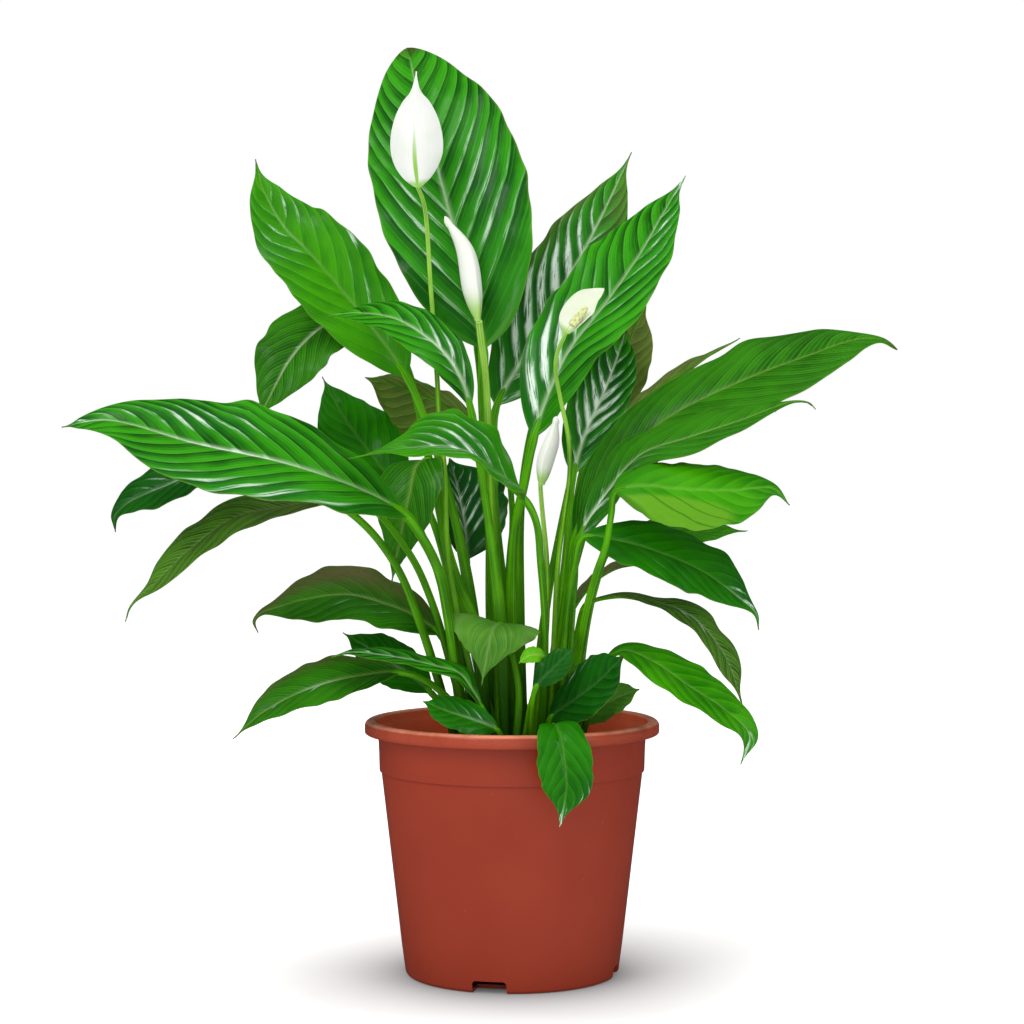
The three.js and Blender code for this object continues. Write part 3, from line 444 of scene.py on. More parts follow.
@dataclass(frozen=True)
class PlasticFinish:
    """Satin moulded plastic in a terracotta colour with a little wear along its rim, painted light on the
    rim's top and a brighter painted inside wall.
    """

    name: str
    body: Colour
    shade: Colour
    wear_and_rim_light: Colour
    # the inner wall's colour, brighter as painted light on the shaded inside
    inner: Colour
    rim_from: float  # height where the rolled rim starts, in metres
    middle_foot: float = 0.0679  # radius of the middle of the wall at the foot, in metres
    middle_slope: float = 0.1176  # how much it grows with the height
    middle_lip: float = 0.088  # its radius in the lip

    def material(self) -> bpy.types.Material:
        """Make the material from the place on the pot.

        Returns:
            The material.
        """
        s = Sheet(self.name)
        x, y, height = s.node("ShaderNodeSeparateXYZ", s.place).outputs
        cloud = s.noise(s.place, 12, detail=3)
        s.colour = s.mix(s.fit(cloud, 0.3, 0.7), self.shade, self.body)

        radius = s.math("SQRT", s.plus(s.times(x, x), s.times(y, y)))
        wall = s.scaled(height, self.middle_slope, self.middle_foot)
        lip = s.times(s.fit(height, self.rim_from, self.rim_from + 2 * MM), self.middle_lip)
        # painted light: the inner wall is given a brighter colour
        inside = s.fit(s.math("SUBTRACT", radius, s.math("MAXIMUM", wall, lip)), 0.2 * MM, -0.2 * MM)
        s.lay(s.times(inside, s.fit(height, 0.012, 0.02)), self.inner)

        # painted light: the rim's top turns pale, standing in for light on it; the rest of the rim gets a
        # little wear
        rim = s.fit(height, self.rim_from, self.rim_from + 6 * MM)
        top = s.fit(height, self.rim_from + 7.8 * MM, self.rim_from + 9.4 * MM)
        patchy = s.fit(s.noise(s.place, 60, detail=3), 0.3, 0.7, 0.5, 1.0)
        s.lay(s.times(s.plus(s.times(rim, 0.1), s.times(top, 0.9)), patchy), self.wear_and_rim_light)

        specks = s.fit(s.noise(s.place, 500, detail=3, rough=0.6), 0.7, 0.76)
        s.lay(s.times(specks, 0.22), PLASTIC_SPECKS)
        around = s.vector(s.times(s.math("ARCTAN2", y, x), 8.0), s.times(height, 90.0))
        scuffs = s.noise(around, 2.0, detail=4, rough=0.7)
        s.lay(s.times(s.fit(scuffs, 0.68, 0.8), 0.1), self.wear_and_rim_light)
        rough = s.plus(s.scaled(cloud, 0.1, 0.26), s.times(scuffs, 0.1), s.times(rim, -0.1))
        relief = s.plus(s.noise(s.place, 2200), s.times(scuffs, 0.4))
        return s.finish(rough, 0.3, s.bump(relief, 0.1, 0.2 * MM))


@dataclass(frozen=True)
class EarthFinish:
    """Moist crumbly potting mix, or one of the bits in it."""

    name: str
    dark: Colour
    light: Colour
    roughness: float = 0.95

    def material(self) -> bpy.types.Material:
        """Make the material from the place in the mound.

        Returns:
            The material.
        """
        s = Sheet(self.name)
        lumps = s.noise(s.place, 160, detail=4, rough=0.65)
        grit = s.noise(s.place, 1400, detail=3, rough=0.6)
        s.colour = s.mix(s.fit(lumps, 0.3, 0.75), self.dark, self.light)
        s.lay(s.fit(grit, 0.62, 0.8), EARTH_GRIT)
        relief = s.plus(lumps, s.times(grit, 0.5))
        return s.finish(s.scaled(grit, -0.1, self.roughness), 0.2, s.bump(relief, 0.7, 1.2 * MM))


@dataclass(frozen=True)
class HoodFinish:
    """Soft white hood with fine veins, green where it grows from the stalk."""

    name: str
    white: Colour
    shade: Colour
    rib: Colour
    rib_reach: float  # how far up the hood the green midrib fades out
    green_base: float = 0.08  # how far up its base is green

    def material(self) -> bpy.types.Material:
        """Make the material from the hood's own coordinates.

        Returns:
            The material.
        """
        s = Sheet(self.name)
        across, along = s.uv("blade")
        side = s.math("ABSOLUTE", s.math("SUBTRACT", across, 0.5))
        veins = s.math("PINGPONG", s.times(side, s.fit(along, 0.0, 1.0, 26.0, 40.0)), 0.5)
        cloud = s.noise(s.place, 60, detail=3)
        share = s.plus(s.times(cloud, 0.7), s.times(veins, 0.45))
        s.colour = s.mix(s.fit(share, 0.2, 0.8), self.shade, self.white)
        narrow = s.fit(along, 0.0, self.rib_reach, 0.06, 0.01)
        line = s.fit(s.math("DIVIDE", side, narrow), 1.0, 0.4)
        line = s.times(line, s.fit(along, self.rib_reach, self.rib_reach * 0.2))
        base = s.times(s.fit(along, self.green_base, self.green_base * 0.2), 0.9)
        s.lay(s.math("MAXIMUM", line, base), self.rib)
        relief = s.plus(s.times(veins, 0.8), s.times(s.noise(s.place, 1500), 0.4))
        return s.finish(s.scaled(cloud, 0.15, 0.42), 0.35, s.bump(relief, 0.25, 0.5 * MM))


@dataclass(frozen=True)
class SpikeFinish:
    """Fleshy spike of tiny florets, greener in the gaps."""

    name: str
    flesh: Colour
    gap: Colour

    def material(self) -> bpy.types.Material:
        """Make the material from the place on the spike.

        Returns:
            The material.
        """
        s = Sheet(self.name)
        dots = s.noise(s.place, 700, detail=3)
        s.colour = s.mix(s.fit(dots, 0.35, 0.65), self.gap, self.flesh)
        return s.finish(s.scaled(dots, 0.2, 0.5), 0.3, s.bump(dots, 0.3, 0.3 * MM))


Finish = BladeFinish | StalkFinish | PlasticFinish | EarthFinish | HoodFinish | SpikeFinish

STALK = StalkFinish("stalk_green", srgb(34, 86, 0), srgb(88, 164, 0), srgb(82, 162, 0))
FLOWER_STALK = StalkFinish("flower_stalk_green", srgb(80, 150, 8), srgb(122, 188, 34), srgb(156, 206, 84))
POT_PLASTIC = PlasticFinish(
    "pot_terracotta", srgb(147, 52, 31), srgb(140, 48, 28), srgb(228, 142, 114), srgb(250, 94, 48), 0.154
)
EARTH = EarthFinish("potting_mix", srgb(26, 17, 12), srgb(62, 43, 30))
COIR = EarthFinish("coir_fibre", srgb(96, 60, 34), srgb(150, 104, 66), roughness=0.85)
GRIT = EarthFinish("pale_grit", srgb(176, 168, 150), srgb(214, 208, 194), roughness=0.8)
HOOD_BACK = HoodFinish("hood_back", srgb(234, 235, 232), srgb(218, 222, 214), srgb(136, 190, 66), 0.68)
HOOD_INSIDE = HoodFinish(
    "hood_inside", srgb(234, 236, 226), srgb(216, 224, 198), srgb(150, 190, 90), 0.3, green_base=0.16
)
HOOD_FURLED = HoodFinish(
    "hood_furled", srgb(236, 237, 232), srgb(222, 226, 214), srgb(150, 198, 84), 0.3, green_base=0.3
)
SPIKE = SpikeFinish("spike_florets", srgb(226, 226, 176), srgb(176, 190, 116))


@cache
def made(finish: Finish) -> bpy.types.Material:
    """Return a finish's material, made once."""
    return finish.material()


# ------------------------------------------------------------------ shapes


class Route:
    """A smooth line through points, which opens evenly where they lie close."""

    def __init__(self, points: Points, steps: int = 24) -> None:
        """Sample the line finely.

        Args:
            points: the points it goes through, in millimetres.
            steps: samples between two points.
        """
        p = np.array(points, float) * MM
        p = np.vstack([2 * p[0] - p[1], p, 2 * p[-1] - p[-2]])
        t = np.linspace(0, 1, steps, endpoint=False)[:, None]
        rows = []
        for p0, p1, p2, p3 in zip(p, p[1:], p[2:], p[3:]):
            d0, d1, d2 = (np.linalg.norm(b - a) ** 0.5 for a, b in ((p0, p1), (p1, p2), (p2, p3)))
            m1 = ((p1 - p0) / d0 - (p2 - p0) / (d0 + d1) + (p2 - p1) / d1) * d1
            m2 = ((p2 - p1) / d1 - (p3 - p1) / (d1 + d2) + (p3 - p2) / d2) * d1
            square = 3 * (p2 - p1) - 2 * m1 - m2
            cube = 2 * (p1 - p2) + m1 + m2
            rows.append(p1 + m1 * t + square * t**2 + cube * t**3)
        self.places = np.vstack([*rows, p[-2:-1]])
        gaps = np.linalg.norm(np.diff(self.places, axis=0), axis=1)
        self.run = np.concatenate([[0], np.cumsum(gaps)])
        self.headings = unit(np.gradient(self.places, self.run, axis=0))
        self.marks = self.run[::steps]
        self.length = float(self.run[-1])

    def _read(self, rows: Rows, distance: Rows) -> Rows:
        """Return the rows at distances along the line."""
        return np.stack([np.interp(distance, self.run, rows[:, k]) for k in range(3)], axis=-1)

    def at(self, distance: Rows) -> Rows:
        """Return places at distances along the line, in metres."""
        return self._read(self.places, distance)

    def heading(self, distance: Rows) -> Rows:
        """Return headings at distances along the line."""
        return unit(self._read(self.headings, distance))


def square_to(direction: Rows, heading: Rows) -> Rows:
    """Turn directions square to headings."""
    return unit(direction - heading * np.sum(direction * heading, axis=-1, keepdims=True))


def facing(face: tuple[Vec3, Vec3], share: Rows, heading: Rows) -> Rows:
    """Return where a side looks, from its direction at the start to the one at the end."""
    start, end = unit(np.array(face, float))
    return square_to(blend(share[..., None], start, end), heading)


def outline(v: Rows, widest: float, full: float, drip: float) -> Rows:
    """Return the half-width of a leaf-shaped outline.

    Args:
        v: share of the length.
        widest: share of the length where it is widest.
        full: how quickly it gets wide; lower is fuller.
        drip: how much the last third narrows to a drawn-out tip.

    Returns:
        Shares of the greatest half-width.
    """
    v = np.clip(v, 0, 1)
    tip = full * (1 - widest) / widest
    return (v / widest) ** full * ((1 - v) / (1 - widest)) ** tip * (1 - drip * smooth(v, 0.65, 1))


def bent(width: Rows, s: Rows, fold: Rows, curl: Rows) -> tuple[Rows, Rows]:
    """Reach across a bent half.

    Args:
        width: the half's width on the flat.
        s: share of that width.
        fold: angle at which it leaves the midrib.
        curl: angle that it turns on its way to the margin.

    Returns:
        How far it reaches sideways and upwards.
    """
    curl = np.where(np.abs(curl) < 1e-3, 1e-3, curl)
    turned = fold + curl * s
    aside = np.sin(turned) - np.sin(fold)
    return width / curl * aside, width / curl * (np.cos(fold) - np.cos(turned))


@dataclass
class Frames:
    """Places along a midrib, with the two directions square to it."""

    centre: Rows
    side: Rows  # to the right
    normal: Rows  # to the upper side

    def laid(self, sign: Rows, across: Rows, up: Rows, angle: Rows, lift: Rows) -> Rows:
        """Lay a bent half beside the midrib.

        Args:
            sign: -1 on the left half, 1 on the right one.
            across: how far sideways.
            up: how far to the upper side.
            angle: how far the sheet is turned up there.
            lift: distance above the middle of the sheet.

        Returns:
            The places.
        """
        out = self.normal * np.cos(angle)[..., None] - self.side * (sign * np.sin(angle))[..., None]
        place = self.centre + self.side * (sign * across)[..., None] + self.normal * up[..., None]
        return place + out * lift[..., None]


def turns(count: int) -> Rows:
    """Return the angles that share out a full turn."""
    return np.linspace(0, FULL_TURN, count, endpoint=False)


def quads(rows: int, columns: int, closed: bool = False) -> list[tuple[Rows, Rows]]:
    """Return where a grid's faces have their four corners.

    Args:
        rows: the grid's rows.
        columns: its columns.
        closed: whether the last column joins the first.

    Returns:
        Row and column of each face's first corner, of its second, and so on.
    """
    steps = np.meshgrid(np.arange(rows - 1), np.arange(columns if closed else columns - 1), indexing="ij")
    i, k = (step.ravel() for step in steps)
    n = (k + 1) % columns
    return [(i, k), (i, n), (i + 1, n), (i + 1, k)]


def picked(grid: Rows, corners: Sequence[tuple[Rows, Rows]]) -> Rows:
    """Return a grid's entries at the corners of every face."""
    return np.stack([grid[corner] for corner in corners], axis=1)


def strip(near: Rows, far: Rows) -> Rows:
    """Return the entries at the corners of the faces between two edges."""
    return np.stack([near[:-1], far[:-1], far[1:], near[1:]], axis=1)


class Shell:
    """A closed mesh in the making, with what its points and corners carry."""

    def __init__(self) -> None:
        """Start with nothing."""
        self.points: list[Rows] = []
        self.faces: list[list[int]] = []
        self.slots: list[int] = []
        self.maps: dict[str, list[Rows]] = {"blade": [], "veins": []}
        self.values: dict[str, list[Rows]] = {}
        self.count = 0

    def points_added(self, points: Rows, **values: Rows) -> Rows:
        """Add points.

        Args:
            points: rows of places, in metres, in any grid.
            **values: a number for each point; a shell that has them gets them first.

        Returns:
            The points' indices, in the same grid.
        """
        grid = points.shape[:-1]
        self.points.append(points.reshape(-1, 3))
        for name, numbers in values.items():
            self.values.setdefault(name, []).append(np.broadcast_to(numbers, grid).ravel())
        first = self.count
        self.count += int(np.prod(grid))
        return np.arange(first, self.count).reshape(grid)

    def faces_added(self, corners: Rows, slot: int, **maps: Rows) -> None:
        """Add faces.

        Args:
            corners: one row of point indices for each face.
            slot: the material's place in the piece's list.
            **maps: two coordinates for each corner of each face, by map name.
        """
        self.faces.extend(corners.tolist())
        self.slots.extend([slot] * len(corners))
        for name, rows in self.maps.items():
            rows.append(maps.get(name, np.zeros((corners.size, 2))).reshape(-1, 2))

    def piece(self, name: str, *finishes: Finish, sharp: float = 50) -> bpy.types.Object:
        """Make the mesh and its object.

        Args:
            name: the piece's name.
            *finishes: its finishes, in slot order.
            sharp: edges bent by more degrees than this stay sharp.

        Returns:
            The object, at the origin.
        """
        mesh = bpy.data.meshes.new(name)
        mesh.from_pydata(np.vstack(self.points), [], self.faces)
        for key, rows in self.maps.items():
            layer = mesh.uv_layers.new(name=key)
            layer.data.foreach_set("uv", np.concatenate(rows).astype(np.float32).ravel())
        for key, rows in self.values.items():
            numbers = np.concatenate(rows)
            numbers = np.pad(numbers, (0, self.count - len(numbers)))
            mesh.attributes.new(key, "FLOAT", "POINT").data.foreach_set("value", numbers.astype(np.float32))
        mesh.set_sharp_from_angle(angle=math.radians(sharp))
        obj = placed(name, mesh, *finishes)
        mesh.polygons.foreach_set("material_index", self.slots)
        mesh.update()
        return obj

    def tube(self, rings: Rows, along: Rows, slot: int = 0) -> None:
        """Close rings of points into one rod.

        Args:
            rings: rows of rings, each turning from the upper side to the right.
            along: the second map coordinate of each ring.
            slot: the material's place.
        """
        count, sides = rings.shape[:2]
        points = self.points_added(rings)
        around = np.abs(np.linspace(-1, 1, sides, endpoint=False))
        grid = np.stack(np.broadcast_arrays(around[None, :], along[:, None]), axis=-1)
        corners = quads(count, sides, closed=True)
        self.faces_added(picked(points, corners), slot, blade=picked(grid, corners))
        for row, step in ((0, -1), (-1, 1)):
            ring = points[row][::step]
            centre = self.points_added(rings[row].mean(axis=0)[None])
            fan = np.stack([ring, np.roll(ring, -1), np.full(sides, centre[0])], axis=1)
            self.faces_added(fan, slot, blade=np.broadcast_to(grid[row, 0], (sides, 3, 2)))

    def rod(self, line: Rows, heading: Rows, upper: Vec3, radius: Rows | float, sides: int) -> None:
        """Add a round rod along a line.

        Args:
            line: places on the line.
            heading: the headings there.
            upper: where the seam looks.
            radius: the rod's radius there.
            sides: corners of its section.
        """
        normal = square_to(np.array([upper], float), heading)[:, None]
        side = np.cross(heading, normal[:, 0])[:, None]
        turn = turns(sides)[None, :, None]
        ring = normal * np.cos(turn) + side * np.sin(turn)
        self.tube(line[:, None] + ring * np.reshape(radius, (-1, 1, 1)), np.linspace(0, 1, len(line)))

    def sheet(self, top: Rows, under: Rows, maps: dict[str, tuple[Rows, Rows]], **values: Rows) -> None:
        """Close two grids of points into one thin sheet, its top in slot 0 and its underside in 1.

        Args:
            top: rows of places from base to tip, each from left to right.
            under: the same for the other side.
            maps: two coordinates for each grid point, by map name, with what the left half adds.
            **values: a number for each grid point.
        """
        upper = self.points_added(top, **values)
        lower = self.points_added(under, **values)
        corners = quads(*upper.shape)
        left = (corners[0][1] < upper.shape[1] // 2)[:, None, None]
        for grid, order, slot in ((upper, (0, 1, 2, 3), 0), (lower, (0, 3, 2, 1), 1)):
            ring = [corners[k] for k in order]
            flat = {name: picked(base, ring) + left * extra for name, (base, extra) in maps.items()}
            self.faces_added(picked(grid, ring), slot, **flat)
        for edge, one, other in (
            (np.s_[:, -1], upper, lower),
            (np.s_[:, 0], lower, upper),
            (np.s_[0], upper, lower),
            (np.s_[-1], lower, upper),
        ):
            flat = {name: strip(base[edge], base[edge]) for name, (base, _) in maps.items()}
            self.faces_added(strip(one[edge], other[edge]), 0, **flat)


def placed(name: str, mesh: bpy.types.Mesh, *finishes: Finish) -> bpy.types.Object:
    """Put a mesh in the scene.

    Args:
        name: the object's name.
        mesh: its mesh.
        *finishes: its finishes, in slot order.

    Returns:
        The new object.
    """
    mesh.materials.clear()
    for finish in finishes:
        mesh.materials.append(made(finish))
    return stood(name, mesh)


def stood(name: str, data: bpy.types.ID, place: Vec3 = (0, 0, 0), turn: Vec3 = (0, 0, 0)) -> bpy.types.Object:
    """Put a new object in the scene.

    Args:
        name: its name.
        data: its mesh, lamp or camera.
        place: where it stands, in metres.
        turn: how it is turned about x, y and z.

    Returns:
        The object.
    """
    obj = bpy.data.objects.new(name, data)
    obj.location = place
    obj.rotation_euler = turn
    bpy.context.scene.collection.objects.link(obj)
    return obj


def evaluated(obj: bpy.types.Object) -> bpy.types.Mesh:
    """Return an object's mesh with its modifiers applied."""
    graph = bpy.context.evaluated_depsgraph_get()
    return bpy.data.meshes.new_from_object(obj.evaluated_get(graph))


def handed_in(obj: bpy.types.Object, slot: str, *nodes: str) -> bpy.types.Object:
    """Attach a piece to the root, hide the solids it replaces, and log its size.

    Args:
        obj: the piece.
        slot: not used.
        *nodes: the solids it replaces.

    Returns:
        The same object.
    """
    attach(obj, "root")
    if nodes:
        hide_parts(*nodes)
    size = " x ".join(f"{side / MM:.0f}" for side in obj.dimensions)
    log.info("%s: %d faces, %s mm", obj.name, len(obj.data.polygons), size)
    return obj


# ------------------------------------------------------------------ leaves


@dataclass(frozen=True)
class Patch:
    """A place on a blade where its finish changes, fading outwards."""

    across: float  # -1 at the left margin, 1 at the right one, with the tip up
    along: float
    reach_across: float
    reach_along: float
    strength: float = 1.0

    def at(self, s: Rows, v: Rows) -> Rows:
        """Return how strong the change is at places on the blade."""
        off = ((s - self.across) / self.reach_across) ** 2 + ((v - self.along) / self.reach_along) ** 2
        return self.strength * np.exp(-off)


def summed(patches: Sequence[Patch], s: Rows, v: Rows) -> Rows:
    """Add up patches, at most to 1."""
    return np.minimum(sum((patch.at(s, v) for patch in patches), np.zeros_like(s)), 1)


@dataclass(frozen=True)
class Leaf:
    """One leaf: stalk with its sheath, midrib and blade, grown as one piece."""

    name: str
    stalk: Points  # from the soil to the blade
    rib: Points  # along the midrib to the tip
    face: tuple[Vec3, Vec3]  # where the upper side looks at the blade's base and tip
    width: float
    widest: float = 0.45  # share of the length where the blade is widest
    full: float = 0.75  # how quickly it gets wide; lower is fuller
    drip: float = 0.4  # how much the last third narrows
    fold: float = 4  # degrees by which each half leaves the flat
    stem: float = 5  # diameter of the stalk
    sheath: float = 0.3  # how much wider the stalk's foot is
    skew: float = 0  # how much wider the right half is
    wave: float = 0  # height of three slow waves, over the half-width
    top: Tint = Tint.GLOSSY
    under: Tint = Tint.UNDERSIDE
    # where painted highlights lie on the blade
    silver: tuple[Patch, ...] = ()
    pale: tuple[Patch, ...] = ()
    brown: tuple[Patch, ...] = ()
    puff: float = 0.045  # height of the strips between side veins, over their width
    ripple: float = 0.05  # height of the margin's waves, over the half-width
    frill: float = 0.025  # how far the margin wanders in and out
    tail: float = 0.07  # share of the blade that is drawn out thin at the tip
    curl: Vec3 = (0, 0, 0)  # how far the very tip is bent away

    bulge = 0.07  # an eighth of the angle that each half arches, in radians
    thickness = 0.55 * MM
    margin = 0.32 * MM  # thickness there
    groove = 0.55 * MM  # depth of the midrib at the base
    vein_gap = 34 * MM
    wander = ((4.3, 0.37, 1.0), (9.1, 0.21, 0.6))  # the margin's swings: how many, offset, strength
    rows = 200
    stalk_rows = 60
    sides = 16  # corners of the section of stalk and midrib
    # shares of the half-width where points lie
    halves = (0, 0.03, 0.07, 0.13, 0.2, 0.29, 0.38, 0.48, 0.58, 0.68, 0.77, 0.85, 0.92, 0.97, 1)

    @property
    def seed(self) -> int:
        """Return a number of the leaf's own, so that no two are mottled alike."""
        return sum((i + 3) * ord(c) for i, c in enumerate(self.name)) % 97

    @cached_property
    def route(self) -> Route:
        """Return the line of stalk and midrib."""
        return Route((*self.stalk, *self.rib))

    @property
    def start(self) -> float:
        """Return how far along that line the blade starts."""
        return self.route.marks[len(self.stalk)]

    def half(self, v: Rows) -> Rows:
        """Return half the width of the blade.

        Args:
            v: shares of the length.

        Returns:
            Half the width there, in metres.
        """
        least = blend(np.minimum(1, 3 * v), self.stem * 0.4, 0.35)
        thin = 1 - 0.65 * smooth(v, 1 - 2.2 * self.tail, 1 - 0.4 * self.tail)
        return np.maximum(self.width / 2 * outline(v, self.widest, self.full, self.drip) * thin, least) * MM

    def frames(self, v: Rows) -> Frames:
        """Return centres, sides and normals of the blade.

        Args:
            v: shares of the length.

        Returns:
            The frames there.
        """
        distance = self.start + v * (self.route.length - self.start)
        heading = self.route.heading(distance)
        normal = facing(self.face, v, heading)
        bend = (np.clip((v - 0.84) / 0.16, 0, 1) ** 2)[..., None] * np.array(self.curl, float) * MM
        return Frames(self.route.at(distance) + bend, np.cross(heading, normal), normal)

    def surface(self, v: Rows, s: Rows, phase: Rows, lift: float) -> Rows:
        """Return places on the blade.

        Args:
            v: shares of the length.
            s: shares of the half-width, below 0 on the left.
            phase: how many side veins lie before each place.
            lift: share of the thickness above the middle of the sheet.

        Returns:
            The places, in metres.
        """
        sign, r = np.where(s < 0, -1.0, 1.0), np.abs(s)
        chance = np.random.default_rng(self.seed)
        wander = sum(
            strength * np.sin(FULL_TURN * (often * v + offset * sign + chance.random()))
            for often, offset, strength in self.wander
        )
        half = self.half(v) * (1 + sign * self.skew) * (1 + self.frill * wander * 4 * v * (1 - v))
        spread = smooth(v, 0, 0.12)
        fold = math.radians(self.fold) * spread
        across, up = bent(half, r, fold + 4 * self.bulge * spread, -8 * self.bulge * spread)
        up = up + self.wave * half * r**2 * np.sin(FULL_TURN * (3 * v + 0.25 * sign))

        turn = FULL_TURN * (2.3 * v + chance.random() + 0.37 * sign)
        ripple = np.sin(turn) + 0.6 * np.sin(2.6 * turn + 1) * r
        up = up + self.ripple * half * r**2 * ripple * smooth(v, 0, 0.3)

        strip = 0.12 * self.width * MM
        fade = smooth(r, 0, 0.15) * (1 - smooth(r, 0.75, 1)) * smooth(v, 0.03, 0.2) * (1 - smooth(v, 0.8, 1))
        up = up + self.puff * strip * fade * (np.sin(np.pi * phase) ** 2 - 0.5)

        rib = blend(v, 1.9, 0.7) * MM
        up = up - self.groove * np.exp(-((r * half / rib) ** 2)) * (1 - 0.8 * v) * spread
        thick = blend(smooth(r, 0.5, 1), self.thickness, self.margin)
        return self.frames(v).laid(sign, across, up, fold, lift * thick)

    def blade(self, shell: Shell) -> None:
        """Add the blade, with rows that follow its side veins.

        Args:
            shell: the mesh in the making.
        """
        length = self.route.length - self.start
        slant = 2.1 * self.width * MM / length
        veins = round(5 + length / self.vein_gap)
        halves = np.array(self.halves)
        s = np.concatenate([-halves[:0:-1], halves])[None, :]
        t = (np.arange(self.rows + 1) / self.rows)[:, None] ** 2.4
        s, t = np.broadcast_arrays(s, t)
        r = np.abs(s)
        v = t ** (1 / (1 + (0.9 * r + 0.5 * r**2 + 0.9 * r**4) * slant))
        phase = veins * t + np.where(s < 0, 0.5, 0.0)
        count = np.stack([r, veins * t + 7 * self.seed], axis=-1)
        across = np.stack([(s + 1) / 2, v], axis=-1)
        rib = blend(v, 1.7, 0.55) * MM * (0.5 + self.stem / 14)
        shell.sheet(
            self.surface(v, s, phase, 0.5),
            self.surface(v, s, phase, -0.5),
            {"blade": (across, np.zeros(2)), "veins": (count, np.array([0, 40.5]))},
            # painted highlights, summed from the leaf's patches
            silver=summed(self.silver, s, v),
            pale=summed(self.pale, s, v),
            brown=summed(self.brown, s, v),
            rib=np.exp(-((r * self.half(v) / rib) ** 2)) * (1 - smooth(v, 0.9, 1)),
        )

    def stalk_rings(self, below: Rows) -> Rows:
        """Return the rings of the stalk, with the gutter that its sheath forms.

        Args:
            below: shares of the way from the soil to the blade.

        Returns:
            One row of places for each ring.
        """
        heading = self.route.heading(below * self.start)
        rows = [square_to(unit(np.array(self.face[0], float)), self.route.heading(self.start))]
        for way in heading[::-1]:
            rows.append(square_to(rows[-1], way))
        normal = np.array(rows[:0:-1])
        sheath = 1 + self.sheath * np.sin(np.pi * np.minimum(1, below * 1.3)) ** 2
        swell = 1 + 0.12 * np.exp(-(((1 - below) * self.start / 0.009) ** 2))
        thick = self.stem / 2 * MM * blend(below, 1, 0.8) * swell
        gutter = blend(sheath - 1, 0.22, 0.6) * smooth(below, 0, 0.2)
        frames = Frames(self.route.at(below * self.start), np.cross(heading, normal), normal)
        return self.rings(frames, thick * sheath, thick, thick, gutter)

    def keel_rings(self, v: Rows) -> Rows:
        """Return the rings of the midrib, which stands out under the blade.

        Args:
            v: shares of the blade's length.

        Returns:
            One row of places for each ring.
        """
        radius = self.stem * 0.4 * MM
        frames = self.frames(v)
        drop = self.groove * (1 - 0.8 * v) * smooth(v, 0, 0.12)
        frames.centre = frames.centre - frames.normal * drop[:, None]
        wide = blend(v**0.6, radius, 0.4 * MM)
        roof = blend(smooth(v, 0, 0.09), radius, -0.1 * MM)
        gutter = 0.22 * (1 - smooth(v, 0, 0.1))
        return self.rings(frames, wide, roof, wide * 1.05 + 0.2 * MM, gutter)

    def rings(self, frames: Frames, wide: Rows, roof: Rows, keel: Rows, gutter: Rows) -> Rows:
        """Return rings of points.

        Args:
            frames: the rings' middles and directions.
            wide: half-widths.
            roof: heights above the middle.
            keel: depths below it.
            gutter: shares of the height by which the upper side is hollow.

        Returns:
            One row of places for each ring.
        """
        turn = turns(self.sides)
        up = np.cos(turn)[None, :]
        hollow = np.exp(-((np.minimum(turn, FULL_TURN - turn) / 0.7) ** 2))[None, :] * gutter[:, None]
        height = np.where(up > 0, up * roof[:, None] * (1 - hollow), up * keel[:, None])
        reach = np.sin(turn)[None, :] * wide[:, None]
        place = frames.centre[:, None] + frames.side[:, None] * reach[..., None]
        return place + frames.normal[:, None] * height[..., None]

    def build(self) -> None:
        """Make the leaf and put it in place of its solid."""
        shell = Shell()
        self.blade(shell)
        below = np.linspace(0, 1, self.stalk_rows, endpoint=False)
        v = 0.985 * (np.arange(self.stalk_rows + 1) / self.stalk_rows) ** 1.3
        rings = np.concatenate([self.stalk_rings(below), self.keel_rings(v)])
        shell.tube(rings, np.concatenate([below, 1 + v]), 2)
        obj = shell.piece(f"{self.name}_grown", self.top.value, self.under.value, STALK)
        handed_in(obj, "leaf", self.name)


# ------------------------------------------------------------------ growth by geometry nodes


